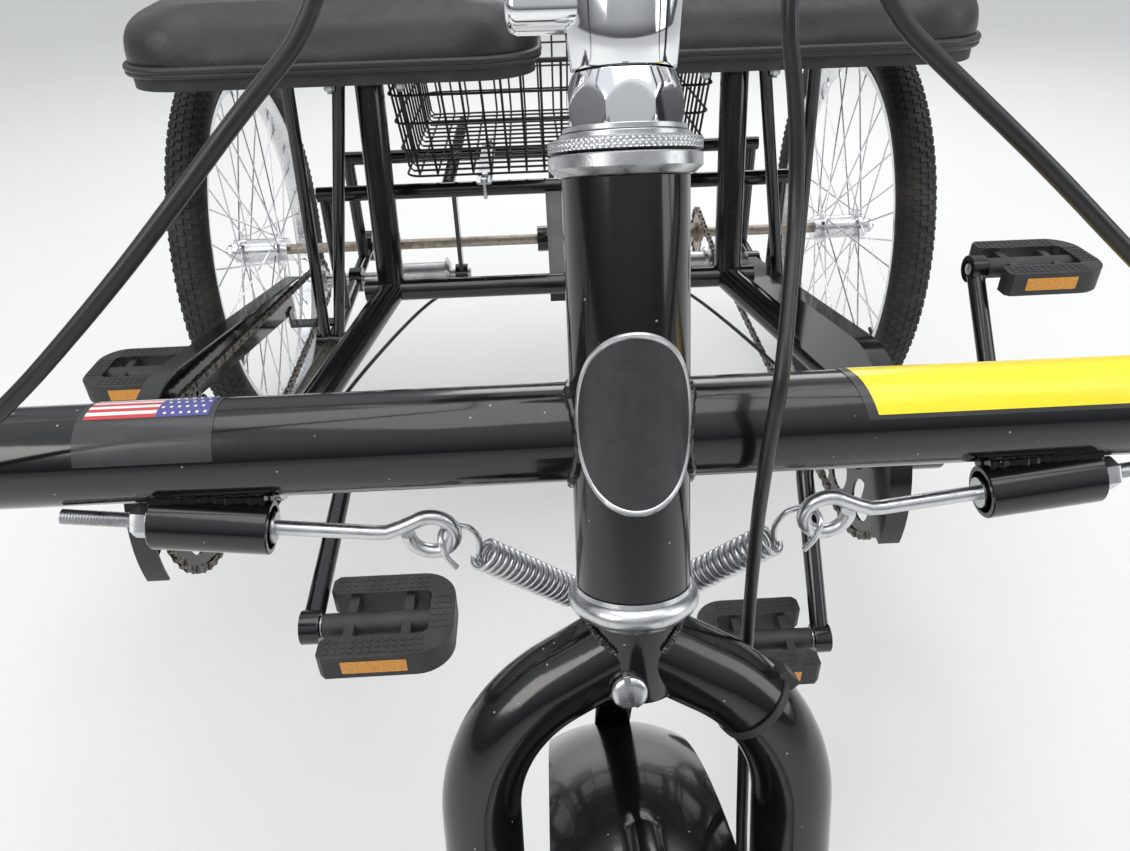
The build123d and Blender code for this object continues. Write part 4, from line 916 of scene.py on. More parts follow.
# Cables, each along one smooth route
BRAKE_ROUTE = (
    # across, along, up
    (0.5037, -0.2130, 0.9274), (0.3300, -0.3450, 0.9250), (0.1200, -0.3980, 0.8620),
    (0.0500, -0.4240, 0.8120), (0.0415, -0.4450, 0.7562), (0.0474, -0.4470, 0.7313),
    (0.0501, -0.4500, 0.7038), (0.0450, -0.4700, 0.6843), (0.0398, -0.4890, 0.6657),
    (0.0387, -0.4890, 0.6453), (0.0392, -0.4860, 0.6204), (0.0424, -0.4775, 0.5938),
    (0.0433, -0.4775, 0.5675), (0.0440, -0.4782, 0.5475), (0.0441, -0.4851, 0.5219),
    (0.0445, -0.4950, 0.4856), (0.0448, -0.5042, 0.4514), (0.0466, -0.5300, 0.3900),
    (0.0468, -0.5700, 0.3200), (0.0468, -0.6000, 0.2790),
)
BRAKE_CUT = 10
SHIFT_ROUTE = (
    # across on the left, across on the right, along, up
    (0.0799, 0.0799, -0.2500, 0.9307), (0.0680, 0.0720, -0.3450, 0.9050),
    (0.0550, 0.0660, -0.4200, 0.8450), (0.0500, 0.0660, -0.4500, 0.7950),
    (0.0600, 0.0780, -0.4630, 0.7570), (0.0790, 0.0960, -0.4730, 0.7405),
    (0.1045, 0.1165, -0.4810, 0.7195), (0.1310, 0.1405, -0.4860, 0.6965),
    (0.1700, 0.1770, -0.4910, 0.6650), (0.2150, 0.2180, -0.4940, 0.6400),
    (0.2550, 0.2550, -0.4910, 0.6200), (0.2863, 0.2863, -0.4550, 0.6000),
    (0.2863, 0.2863, -0.4000, 0.5880), (0.2863, 0.2863, -0.1500, 0.4090),
    (0.2853, 0.2853, -0.1180, 0.3720), (0.2840, 0.2840, -0.1060, 0.3300),
    (0.2830, 0.2830, -0.0880, 0.3085), (0.2800, 0.2800, -0.0600, 0.3045),
    (0.2620, 0.2620, 0.1000, 0.3060), (0.1850, 0.1850, 0.3800, 0.3000),
    (0.1400, 0.1400, 0.4250, 0.2980), (0.1400, 0.1400, 0.4525, 0.2980),
)


def cable(name, points, replaces):
    """Sheath along points, with its place baked into the mesh."""
    made = piece(name, Shape().tube(points, CABLE_R, 16), SHEATH, None, replaces, 60.0)
    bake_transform(made)


def cables():
    route = smooth_route([Vector(row) for row in BRAKE_ROUTE])
    middle = min(range(len(route)), key=lambda k: abs(route[k].z - BRAKE_ROUTE[BRAKE_CUT][2]))
    upper = route[: middle + 1]
    cable("brake_cable_upper", upper, ("brake_cable",))
    cable("brake_cable_lower", route[middle:], ())
    for column, (side, sign) in enumerate(SIDES):
        points = smooth_route([Vector((sign * row[column], row[2], row[3])) for row in SHIFT_ROUTE])
        replaced = ("shift_cables",) if side == "left" else ()
        cable("shift_cable_" + side, points, replaced)


# Front fender: crowned strip with rolled edges and a raised ridge along its middle
FENDER_R = 0.2754
FENDER_HALF = 0.0325
FENDER_FROM = -28.0
FENDER_TO = 128.0
FENDER_WALL = 0.0012
STRAP_DEG = 37.0
STRAP_BACK = 0.036
RIDGE_FROM = 66.0
RIDGE_TO = 122.0
RIDGE_HALF = 0.0050
RIDGE_H = 0.0022
STAY_R = 0.0025
STAY_TOP_R = 0.268


def fender_height(across, angle):
    """Height of the fender's outer face over its radius, with a round-ended ridge."""
    crown = -0.0075 * (abs(across) / FENDER_HALF) ** 2.3
    past = max(0.0, RIDGE_FROM - angle, angle - RIDGE_TO)
    away = math.hypot(across, math.radians(past) * FENDER_R)
    return crown + RIDGE_H / (1.0 + math.exp(min(60.0, (away - RIDGE_HALF) / 0.0006)))


def fender_angles():
    """Angles of the fender's cross sections, closer together where the ridge ends."""
    angles = []
    angle = FENDER_FROM
    while angle < FENDER_TO:
        angles.append(angle)
        near = min(abs(angle - RIDGE_FROM), abs(angle - RIDGE_TO))
        angle += 0.25 if near < 2.5 else 1.5
    return angles + [FENDER_TO]


def front_fender():
    rings = []
    for degrees in fender_angles():
        out = wheel_out(math.radians(degrees))
        outer = []
        inner = []
        for x in spread(-FENDER_HALF, FENDER_HALF, 65):
            reach = FENDER_R + fender_height(x, degrees)
            outer.append(FRONT_AXLE + X_AXIS * x + out * reach)
            inner.append(FRONT_AXLE + X_AXIS * x * 0.985 + out * (reach - FENDER_WALL))
        rings.append(outer + inner[::-1])
    shape = Shape().skin(rings)
    strap_top = at_steer(0.0, STRAP_BACK, TAB_UP - TAB_T / 2.0)
    strap_foot = FRONT_AXLE + wheel_out(math.radians(STRAP_DEG)) * (FENDER_R - 0.0006)
    strap = [Vector((a, b, 0.0)) for a, b in rounded_rectangle(0.009, 0.0013, 0.0005, 2)]
    shape.skin([[end + corner for corner in strap] for end in (strap_top, strap_foot)])
    stay_out = wheel_out(math.radians(FENDER_FROM + 12.0))
    for sign in SIGNS:
        out = X_AXIS * sign
        top = FRONT_AXLE + stay_out * STAY_TOP_R + out * (FENDER_HALF - 0.001)
        low = FRONT_AXLE + STAY_EAR + out * (LEG_X + 0.0065)
        shape.tube([low, low.lerp(top, 0.5), top], STAY_R, 12)
        shape.disc(low - out * 0.0037, out, 0.005, 0.0063, 20)
    piece("front_fender_shell", shape, PAINT, "steering", ("front_fender",), 30.0)


def fender_hardware():
    shape = Shape()
    for sign in SIGNS:
        out = X_AXIS * sign
        shape.bolt(FRONT_AXLE + STAY_EAR + out * (LEG_X + 0.009), out, 0.008, 0.0058, 0.0025, 0.002)
        seat = FRONT_AXLE + out * (LEG_X + 0.0031)
        shape.disc(seat, out, 0.0088, 0.0014, 32)
        shape.nut(seat + out * 0.0014, out, 0.015, 0.0075)
    piece("front_axle_nuts", shape, ZINC, "steering")


# Labels: plain films on the crossbar, with nothing printed but a stripe pattern
YELLOW_FROM = 0.0770
YELLOW_TO = 0.2300
YELLOW_LEAN = 0.0045
STRIPES_FROM = -0.1479
STRIPES_TO = -0.1699
STRIPES_LOW = 73.0
STRIPES_HIGH = 124.0
FIELD_LEN = 0.0165
FILM_T = 0.00028


def on_bar(x, angle, lift):
    """Point over the visible crossbar's skin, and the direction out of it."""
    out = turned(-Y_AXIS, Z_AXIS, angle)
    return Vector((x, BAR_AT.y, BAR_AT.z)) + out * (BAR_R + lift), out


def crossbar_film(name, finish, x_from, x_to, low_deg, high_deg, lift, lean=0.0):
    """Thin film bent round the crossbar; its start edge leans outward over its upper half."""
    rows = []
    for t, angle in zip(spread(0.0, 1.0, 29), arc(low_deg, high_deg, 29)):
        start = x_from - math.copysign(lean * min(1.0, t / 0.62), x_to - x_from)
        rows.append([on_bar(x, angle, lift)[0] for x in spread(start, x_to, 25)])
    piece(name, Shape().sheet(rows), finish, "frame")


def labels():
    yellow = label_film("yellow_film", (0.92, 0.72, 0.01))
    clear = label_film("clear_film", (0.02, 0.02, 0.022), 0.42)
    red = label_film("red_film", (0.5, 0.03, 0.035))
    white = label_film("white_film", (0.72, 0.71, 0.69))
    blue = label_film("blue_film", (0.06, 0.055, 0.26))
    field_end = STRIPES_FROM + FIELD_LEN
    films = [
        ("crossbar_yellow_label", yellow, YELLOW_FROM, YELLOW_TO, 36.0, 140.0, 0.00032, YELLOW_LEAN),
        (
            "crossbar_yellow_backing", clear, YELLOW_FROM - 0.003, YELLOW_TO + 0.003,
            31.0, 143.0, 0.00018, YELLOW_LEAN,
        ),
        ("crossbar_clear_label", clear, STRIPES_FROM + 0.0185, STRIPES_TO - 0.0020, 20.0, 128.0, 0.00015),
    ]
    edges = spread(STRIPES_LOW, STRIPES_HIGH, 10)
    for k in range(9):
        film = white if k % 2 else red
        films.append(("stripe_label_%d" % k, film, STRIPES_FROM, STRIPES_TO, edges[k], edges[k + 1], FILM_T))
    films.append(("stripe_label_field", blue, field_end, STRIPES_FROM, STRIPES_LOW, STRIPES_HIGH, FILM_T))
    for film in films:
        crossbar_film(*film)
    dots = Shape()
    for row in range(5):
        for column in range(6):
            angle = math.radians(STRIPES_LOW + (STRIPES_HIGH - STRIPES_LOW) * (row + 0.5) / 5)
            x = STRIPES_FROM + 0.0152 - 0.0140 * (column + 0.5 * (row % 2)) / 5.6
            at, out = on_bar(x, angle, 0.0003)
            dots.disc(at, out, 0.00055, 0.0001, 8)
    piece("stripe_label_dots", dots, white, "frame")


# Tyres: round carcass with rows of small blocks and ribs on the wall
TYRE_HALF = 0.0244
TYRE_ROUND = 0.0235
BLOCK_H = 0.0022
BLOCK_PITCH = 0.0135
RIB_H = 0.0005
RIB_DEG = 86.0
RIB_HALF_DEG = 5.0
BEAD_DEG = 150.0
BEAD_X = 0.0125
BEAD_DROP = 0.0528
TREAD_ROWS = (
    # angle from the crown, half angle across, share of a pitch, offset
    (0.0, 8.0, 0.62, 0.0), (21.0, 7.5, 0.6, 0.5), (-21.0, 7.5, 0.6, 0.5),
    (42.0, 8.0, 0.56, 0.0), (-42.0, 8.0, 0.56, 0.0), (63.0, 7.0, 0.4, 0.5), (-63.0, 7.0, 0.4, 0.5),
)


def tyre(node, body, centre):
    low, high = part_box(node)
    outer = (high.z - low.z) / 2.0
    heart = outer - BLOCK_H - TYRE_ROUND

    def carcass(theta, lift):
        """Across and radial place at an angle from the crown."""
        return (TYRE_HALF + lift) * math.sin(theta), heart + (TYRE_ROUND + lift) * math.cos(theta)

    section = []
    for theta in arc(-BEAD_DEG, BEAD_DEG, 37):
        on_rib = abs(math.degrees(abs(theta)) - RIB_DEG) < RIB_HALF_DEG
        section.append(carcass(theta, RIB_H if on_rib else 0.0))
    section += [(BEAD_X, outer - BEAD_DROP), (-BEAD_X, outer - BEAD_DROP)]
    rings = [[centre + X_AXIS * x + wheel_out(turn) * r for x, r in section] for turn in full_turn(144)]
    shape = Shape().skin(rings, closed=True)
    pitches = int(round(2.0 * math.pi * outer / BLOCK_PITCH))
    for middle, half, share, offset in TREAD_ROWS:
        top = BLOCK_H * (1.0 - abs(middle) / 190.0)
        for k in range(pitches):
            block = []
            for lift, grow in ((-0.0004, 1.06), (top, 0.86)):
                ring = []
                for theta_sign, turn_sign in ((-1, -1), (1, -1), (1, 1), (-1, 1)):
                    x, r = carcass(math.radians(middle + theta_sign * half * grow), lift)
                    turn = math.pi / pitches * (2.0 * (k + offset) + turn_sign * share * grow)
                    ring.append(centre + X_AXIS * x + wheel_out(turn) * r)
                block.append(ring)
            shape.skin(block)
    piece(node + "_tread", shape, RUBBER, body, (node,), 32.0)


# Wheels: nipples at the rim, valve, and hub end caps
SPOKES = 18
SPOKE_LEAD = math.radians(52.0)
SPOKE_HUB_R = 0.023
RIM_DROP = 0.0472


def wheel_details(name, centre, outer, flange_half, cap_side, cap_reach):
    nipples = Shape()
    rim_top = outer - RIM_DROP
    for sign in SIGNS:
        for i in range(SPOKES):
            lead = 1.0 if i % 2 == 0 else -1.0
            angle = 2.0 * math.pi * (i + 0.25 * sign) / SPOKES
            hub_at = wheel_out(angle + lead * SPOKE_LEAD) * SPOKE_HUB_R
            hub_at += X_AXIS * sign * (flange_half + lead * 0.0016)
            rim_at = X_AXIS * sign * 0.0015 + wheel_out(angle) * (rim_top - 0.015)
            inward = (hub_at - rim_at).normalized()
            profile = [(0.0, 0.0026), (0.003, 0.0026), (0.0035, 0.0020), (0.0115, 0.0018)]
            nipples.lathe(centre + rim_at + inward * 0.0005, inward, profile, 8)
    piece(name + "_nipples", nipples, SILVER, name)
    out = wheel_out(math.radians(205.0))
    profile = [
        (0.0, 0.0042), (0.004, 0.0040), (0.006, 0.0032), (0.02, 0.0030), (0.022, 0.0026),
        (0.032, 0.0026), (0.033, 0.002),
    ]
    valve = Shape().lathe(centre + out * (rim_top - 0.0145), -out, profile, 14)
    piece(name + "_valve", valve, PLASTIC, name)
    if cap_side:
        out = X_AXIS * cap_side
        seat = centre + out * cap_reach
        cap = Shape().disc(seat, out, 0.0118, 0.0015, 36)
        cap.nut(seat + out * 0.0015, out, 0.019, 0.0095)
        cap.lathe(seat, out, [(0.0, 0.006), (0.0145, 0.006), (0.015, 0.0054)], 24)
        piece(name + "_axle_nut", cap, ZINC, name)


# Chains: plates, rollers and pins along the path round two wheels
CHAINRING_TEETH = 40
COG_TEETH = 14
AXLE_TEETH = 18


def pitch_radius(teeth):
    return CHAIN_PITCH / (2.0 * math.sin(math.pi / teeth))


def belt_points(first, first_r, second, second_r):
    """Pin places round two wheels, an even number of them about a pitch apart."""
    gap = second - first
    base = math.atan2(gap.z, gap.y)
    dist = math.hypot(gap.y, gap.z)
    wrap = math.acos((first_r - second_r) / dist)
    run = math.sqrt(dist ** 2 - (first_r - second_r) ** 2)
    far_arc = 2.0 * wrap * second_r
    length = 2.0 * run + far_arc + (2.0 * math.pi - 2.0 * wrap) * first_r
    count = 2 * int(round(length / CHAIN_PITCH / 2.0))

    def near(angle):
        return first + wheel_out(angle) * first_r

    def far(angle):
        return second + wheel_out(angle) * second_r

    def at(distance):
        if distance < run:
            return near(base + wrap).lerp(far(base + wrap), distance / run)
        distance -= run
        if distance < far_arc:
            return far(base + wrap - distance / second_r)
        distance -= far_arc
        if distance < run:
            return far(base - wrap).lerp(near(base - wrap), distance / run)
        return near(base - wrap - (distance - run) / first_r)

    return [at(k * length / count) for k in range(count)]


def link_outline():
    """Waisted outline of a chain plate, along and across."""
    end_r = 0.0042
    outline = []
    for sign, start in ((1.0, -115.0), (-1.0, 65.0)):
        for angle in arc(start, start + 230.0, 6):
            outline.append((sign * CHAIN_PITCH / 2.0 + end_r * math.cos(angle), end_r * math.sin(angle)))
        outline.append((0.0, sign * 0.0030))
    return outline


def chain(node, pins):
    x = (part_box(node)[0].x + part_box(node)[1].x) / 2.0
    for pin in pins:
        pin.x = x
    outline = link_outline()
    shape = Shape()
    for k, here in enumerate(pins):
        after = pins[(k + 1) % len(pins)]
        along = (after - here).normalized()
        offset = 0.0026 if k % 2 else 0.0016
        for sign in SIGNS:
            start = (here + after) / 2.0 + X_AXIS * (sign * offset - 0.00045)
            shape.plate(outline, start, along, X_AXIS.cross(along), 0.0009, 0.0001)
        shape.disc(here - X_AXIS * 0.0016, X_AXIS, 0.0038, 0.0032, 10)
        if k % 2:
            for pin in (here, after):
                shape.disc(pin - X_AXIS * 0.0036, X_AXIS, 0.0017, 0.0072, 8)
    piece(node + "_links", shape, CHAIN, "frame", (node,))


def chains():
    cog = pitch_radius(COG_TEETH)
    for side in SIDE_NAMES:
        hub = joint_at("mid_hub_%s_spin" % side)
        crank = joint_at("crank_%s_spin" % side)
        chain("drive_chain_" + side, belt_points(crank, pitch_radius(CHAINRING_TEETH), hub, cog))
        chain("axle_chain_" + side, belt_points(REAR_AXLE[side], pitch_radius(AXLE_TEETH), hub, cog))


# Basket of round wires with a thicker rim
BASKET_W = 0.384
BASKET_TOP_W = 0.412
BASKET_D = 0.350
BASKET_H = 0.138
BASKET_Y = 0.395
BASKET_Z = 0.4665
BASKET_PITCH = 0.026
WIRE_R = 0.0016


def basket():
    shape = Shape()
    foot = Vector((0.0, BASKET_Y + BASKET_D / 2.0, BASKET_Z + 0.0035))

    def corner(t, grow):
        """Half width, half depth and height at a share of the basket's height."""
        flare = (BASKET_TOP_W - BASKET_W) / 2.0 * t + grow
        return Vector((BASKET_W / 2 + flare, BASKET_D / 2 + flare, BASKET_H * t))

    for t, radius, grow in [(0.985 * row / 4.0, WIRE_R, 0.0) for row in range(5)] + [(1.0, 0.0027, 0.001)]:
        half = corner(t, grow)
        outline = rounded_rectangle(half.x, half.y, 0.018, 5)
        shape.tube([foot + Vector((a, b, half.z)) for a, b in outline], radius, 8, closed=True)
    low = corner(0.0, -0.0030)
    high = corner(0.985, -0.0030)
    families = ((X_AXIS, Y_AXIS, BASKET_W, 0.006, 0.0), (Y_AXIS, X_AXIS, BASKET_D, 0.009, 0.0032))
    for across, span, size, rise, lift in families:
        for t in spread(-0.93, 0.93, int(round(size / BASKET_PITCH)) + 1):
            path = []
            for end in (-1, 1):
                bottom = foot + across * t * low.dot(across) + span * end * low.dot(span)
                top = foot + across * t * high.dot(across) + span * end * high.dot(span) + Z_AXIS * high.z
                path += [top, bottom + Z_AXIS * rise, bottom + Z_AXIS * lift - span * end * 0.005][:: -end]
            shape.tube(path, WIRE_R, 6)
    piece("wire_basket", shape, WIRE, "frame", ("basket",), 60.0)


# Grips: ribbed rubber with a flange at the inner end and a rounded outer end
BAR_Y = (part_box("bar_sleeve")[0].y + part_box("bar_sleeve")[1].y) / 2.0
GRIP_END_Y = -0.070
GRIP_END_Z = 0.965
KNEE_Z = 0.925
GRIP_LEN = 0.119
GRIP_RIBS = 26
RIB_PITCH = 0.0040
CLAMP_BACK = 0.137
PIVOT_DROP = 0.026
LEVER_LEN = 0.100
LEVER_DROP = 0.012
GRIP_LINES = []
for side, sign in SIDES:
    for place, knee_x, end_x in (("outer", 0.495, 0.520), ("inner", 0.096, 0.084)):
        knee = Vector((sign * knee_x, BAR_Y + 0.030, KNEE_Z))
        GRIP_LINES.append((place + "_" + side, knee, Vector((sign * end_x, GRIP_END_Y, GRIP_END_Z))))


def grips():
    profile = [(0.0, 0.0115), (0.0, 0.0158), (0.0014, 0.0165), (0.004, 0.0165), (0.0052, 0.0150)]
    for i in range(GRIP_RIBS):
        swell = 0.0006 * math.sin(math.pi * i / (GRIP_RIBS - 1))
        for step, radius in ((0.0, 0.0142), (0.0006, 0.0150), (0.0026, 0.0150), (0.0032, 0.0142)):
            profile.append((0.008 + i * RIB_PITCH + step, radius + swell))
    profile += [(0.115, 0.0150), (0.120, 0.0158), (0.1225, 0.0155)]
    profile += [(0.1243, 0.0135), (0.125, 0.0080), (0.125, 0.001)]
    for name, knee, end in GRIP_LINES:
        along = (end - knee).normalized()
        shape = Shape().lathe(end - along * GRIP_LEN, along, profile, 40)
        piece("grip_" + name, shape, GRIP, "steering", ("grips",) if name == "outer_left" else (), 40.0)


def brake_lever():
    """Clamp, bracket, pivot and a curved, tapered blade with a ball end."""
    knee, end = GRIP_LINES[0][1:]
    along = (end - knee).normalized()
    clamp_at = end - along * CLAMP_BACK
    pivot = clamp_at - Z_AXIS * PIVOT_DROP
    clamp = [
        (-0.009, 0.0114), (-0.009, 0.0150), (-0.0078, 0.0160),
        (0.0078, 0.0160), (0.009, 0.0150), (0.009, 0.0114),
    ]
    shape = Shape().lathe(clamp_at, along, clamp, 40, hollow=True)
    neck = [clamp_at - Z_AXIS * 0.013, clamp_at - Z_AXIS * 0.019, pivot]
    shape.tube(neck, 0.006, 16, radii=[0.0075, 0.0062, 0.0068])
    pin = [(0.0, 0.0050), (0.0008, 0.0060), (0.0162, 0.0060), (0.017, 0.0050)]
    shape.lathe(pivot - X_AXIS * 0.0085, X_AXIS, pin, 28)
    barrel = [(0.0, 0.0045), (0.012, 0.0040), (0.013, 0.0034)]
    shape.lathe(pivot - along * 0.004 + Z_AXIS * 0.006, -along, barrel, 18)
    piece("brake_lever_bracket", shape, PLASTIC, "steering", ("brake_lever",))
    rings = []
    for t in spread(0.0, 1.0, 27):
        here = pivot + along * LEVER_LEN * t - Z_AXIS * (LEVER_DROP * t + 0.006 * math.sin(math.pi * t))
        half_w = 0.0062 * (1.0 - 0.35 * t)
        half_t = 0.0032 * (1.0 - 0.25 * t)
        outline = rounded_rectangle(half_w, half_t, half_t * 0.9, 3)
        rings.append([here + X_AXIS * a + Z_AXIS * b for a, b in outline])
    ball = [
        (-0.0046, 0.0012), (-0.0036, 0.0032), (-0.0015, 0.0048),
        (0.0012, 0.0050), (0.0032, 0.0038), (0.0044, 0.0014),
    ]
    tip = pivot + along * LEVER_LEN - Z_AXIS * LEVER_DROP
    blade = Shape().skin(rings).lathe(tip, along, ball, 20)
    piece("brake_lever_blade", blade, PLASTIC, "steering")


# Saddles: vinyl over foam, swollen a little, with a piped lower edge
SIM_FRAMES = 20
SWELL_CAP = 0.007
SADDLE_CORNER = 0.066
SADDLE_WAIST = 0.0035
VOXEL = 0.006
SADDLE_TRIMS = (
    # name, height over the foot, inset from the outline, radius
    ("piping", 0.0065, 0.0042, 0.0042), ("edge_strip", 0.0015, 0.0038, 0.0030),
)


def cushion_mesh(low, high):
    """Crowned closed form on the saddle's round-cornered outline."""
    centre = (low + high) / 2.0
    half = (high - low) / 2.0
    profile = (
        # share of the height, inset from the outline
        (0.0, 0.0100), (0.05, 0.0050), (0.16, 0.0036), (0.34, 0.0042), (0.55, 0.0056),
        (0.74, 0.0100), (0.86, 0.0180), (0.93, 0.0300), (0.965, 0.0500),
    )
    rings = []
    for share, inset in profile:
        ring = []
        for a, b in rounded_rectangle(half.x - inset, half.y - inset, SADDLE_CORNER, 10):
            waist = SADDLE_WAIST * math.cos(math.pi * a / (2.0 * half.x)) ** 2 * (abs(b) / half.y)
            side_y = centre.y + b * (1.0 - waist / half.y)
            ring.append(Vector((centre.x + a, side_y, low.z + 2.0 * half.z * share)))
        rings.append(ring)
    return Shape().skin(rings)


def evaluated_mesh(source):
    graph = bpy.context.evaluated_depsgraph_get()
    return bpy.data.meshes.new_from_object(source.evaluated_get(graph))


def swollen(source):
    """Remeshes the cushion evenly and swells it by a pressure simulation, up to the cap."""
    remesh = source.modifiers.new("remesh", "REMESH")
    remesh.mode = "VOXEL"
    remesh.voxel_size = VOXEL
    bpy.context.view_layer.update()
    even = evaluated_mesh(source)
    source.modifiers.clear()
    source.data = even
    rest = [vertex.co.copy() for vertex in even.vertices]
    floor = min(co.z for co in rest) + 0.004
    pinned = source.vertex_groups.new(name="pinned")
    pinned.add([k for k, co in enumerate(rest) if co.z < floor], 1.0, "REPLACE")
    cloth = source.modifiers.new("cloth", "CLOTH")
    cloth.settings.quality = 5
    cloth.settings.vertex_group_mass = "pinned"
    cloth.settings.use_pressure = True
    cloth.settings.uniform_pressure_force = 3.0
    cloth.settings.effector_weights.gravity = 0.0
    cloth.settings.tension_stiffness = 20.0
    cloth.settings.bending_stiffness = 4.0
    for frame_number in range(1, SIM_FRAMES + 1):
        scene.frame_set(frame_number)
    graph = bpy.context.evaluated_depsgraph_get()
    moved = source.evaluated_get(graph).to_mesh()
    shifts = [moved.vertices[k].co - rest[k] for k in range(len(rest))]
    source.modifiers.clear()
    source.vertex_groups.clear()
    for vertex, home, shift in zip(even.vertices, rest, shifts):
        vertex.co = home + shift * min(1.0, SWELL_CAP / max(shift.length, 1e-9))
    scene.frame_set(1)


def saddles():
    for side in SIDE_NAMES:
        node = "seat_cushion_" + side
        low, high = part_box(node)
        made = piece("saddle_" + side, cushion_mesh(low, high), VINYL, None, (), 60.0)
        swollen(made)
        ease = made.modifiers.new("ease", "SMOOTH")
        ease.factor = 0.6
        ease.iterations = 14
        smooth = made.modifiers.new("smooth", "SUBSURF")
        smooth.levels = 1
        smooth.render_levels = 1
        final = evaluated_mesh(made)
        made.modifiers.clear()
        made.data = final
        for vertex in final.vertices:
            vertex.co.z = min(max(vertex.co.z, low.z + 0.0002), high.z)
        final.polygons.foreach_set("use_smooth", [True] * len(final.polygons))
        final.materials.clear()
        final.materials.append(VINYL.material)
        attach(made, "frame")
        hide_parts(node)
        centre = (low + high) / 2.0
        half = (high - low) / 2.0
        for name, up, inset, radius in SADDLE_TRIMS:
            outline = rounded_rectangle(half.x - inset, half.y - inset, SADDLE_CORNER, 14)
            path = [Vector((centre.x + a, centre.y + b, low.z + up)) for a, b in outline]
            trim = Shape().tube(path, radius, 12, closed=True)
            piece("saddle_%s_%s" % (name, side), trim, VINYL, "frame")


SEAT_X = 0.205
PAN_BOLT_X = 0.038
PAN_BOLT_Y = 0.030
PAN_PLATE_T = 0.0032


def pan_bolts():
    """Bolt heads under each seat pan round the post's plate."""
    shape = Shape()
    plates = Shape()
    for side, sign in SIDES:
        post_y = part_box("seat_post_" + side)[1].y - 0.017
        centre = Vector((sign * SEAT_X, post_y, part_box("seat_pans")[0].z - PAN_PLATE_T))
        for dx in (-PAN_BOLT_X, PAN_BOLT_X):
            for dy in (-PAN_BOLT_Y, PAN_BOLT_Y):
                shape.bolt(centre + Vector((dx, dy, 0.0)), -Z_AXIS, 0.010, 0.0085, 0.003, 0.003)
        plates.plate(rounded_rectangle(0.052, 0.044, 0.008, 5), centre, X_AXIS, Y_AXIS, 0.0031, 0.0006)
    piece("seat_plate_bolts", shape, ZINC, "frame")
    piece("seat_plates", plates, PAINT, "frame")


# Pedals: open tread frames on a barrel, with amber lenses front and back
PEDAL_W = 0.098
PEDAL_L = 0.084
PEDAL_T = 0.024
PEDAL_CORNER = 0.027
PEDAL_GAP = 0.005
ARM_EYE_T = 0.014


def pedal_outline():
    """U-shaped outline of the tread frame, outward from the crank and along."""
    half = PEDAL_L / 2.0 - 0.0004
    centre = half - PEDAL_CORNER
    outline = [(0.004, -half)]
    for side, start in ((-1.0, -90.0), (1.0, 0.0)):
        for angle in arc(start, start + 90.0, 9):
            a = PEDAL_W - PEDAL_CORNER + PEDAL_CORNER * math.cos(angle)
            outline.append((a, side * centre + PEDAL_CORNER * math.sin(angle)))
    outer = [
        (0.004, half), (0.0, half - 0.004), (0.0, 0.026),
        (0.004, 0.0225), (0.076, 0.0225), (0.080, 0.0185),
    ]
    return outline + outer + [(a, -b) for a, b in outer[:0:-1]]


def tread_pads():
    """Places of the small raised pads on the tread's two rails and end."""
    pads = []
    for edge in (-1.0, 1.0):
        for row in range(3):
            pads += [(0.0065 + 0.0062 * i, edge * (0.0265 + 0.0052 * row)) for i in range(12)]
    for row in range(3):
        pads += [(0.0832 + 0.0050 * row, -0.0155 + 0.0062 * i) for i in range(6)]
    return pads


def pedals():
    half_t = PEDAL_T / 2.0 - 0.0006
    pad = rounded_rectangle(0.0021, 0.0019, 0.0006, 1)
    barrel = [(-0.0030, 0.0070), (-0.0030, 0.0088), (-0.0020, 0.0096), (0.0820, 0.0096), (0.0820, 0.0070)]
    spindle = [(0.0, 0.0050), (0.0004, 0.0056), (0.0170, 0.0056)]
    for side, sign in SIDES:
        for place, out in (("inner", -sign), ("outer", sign)):
            body = "pedal_%s_%s" % (side, place)
            pin = joint_at(body + "_spin")
            along = X_AXIS * out
            up = Z_AXIS * out
            near = pin + along * (ARM_EYE_T / 2.0 + PEDAL_GAP)
            tread = Shape().plate(pedal_outline(), near - up * half_t, along, Y_AXIS, 2.0 * half_t, 0.0008)
            tread.lathe(near, along, barrel, 28)
            for reach in (0.019, 0.062):
                strut = rounded_rectangle(0.0036, 0.0235, 0.001, 2)
                tread.plate(strut, near + along * reach - up * 0.0075, along, Y_AXIS, 0.015, 0.0006)
            for top in (-1.0, 1.0):
                for a, b in tread_pads():
                    at = near + along * a + Y_AXIS * b + Z_AXIS * top * half_t
                    tread.plate(pad, at, along, Y_AXIS * out * top, 0.0006, 0.0002)
            piece(body + "_frame", tread, PLASTIC, body, (body,), 35.0)
            lenses = Shape()
            for face in (1.0, -1.0):
                seat = near + along * PEDAL_W * 0.42 + Y_AXIS * face * (PEDAL_L / 2.0 - 0.0010)
                lenses.plate(rounded_rectangle(0.0060, 0.0240, 0.0010, 3), seat, Z_AXIS, X_AXIS * face, 0.0009)
            piece(body + "_lenses", lenses, AMBER, body)
            flats = Shape()
            flats.lathe(pin - along * ARM_EYE_T / 2.0, along, spindle, 24)
            flats.disc(near - along * 0.0042, along, 0.0085, 0.0014)
            flats.nut(near - along * 0.0046, along, 0.015, 0.0030)
            piece(body + "_pin_flats", flats, ZINC, body)


def bracket_cups():
    """Bearing cups at the ends of each bottom bracket shell."""
    profile = [(0.0, 0.0088), (0.0, 0.0212), (0.0016, 0.0212), (0.0026, 0.0196), (0.0030, 0.0088)]
    shape = Shape()
    for side in SIDE_NAMES:
        for end in SIGNS:
            seat = joint_at("crank_%s_spin" % side) + X_AXIS * end * 0.0342
            shape.lathe(seat, X_AXIS * end, profile, 48, hollow=True)
    piece("bracket_cups", shape, ZINC, "frame")


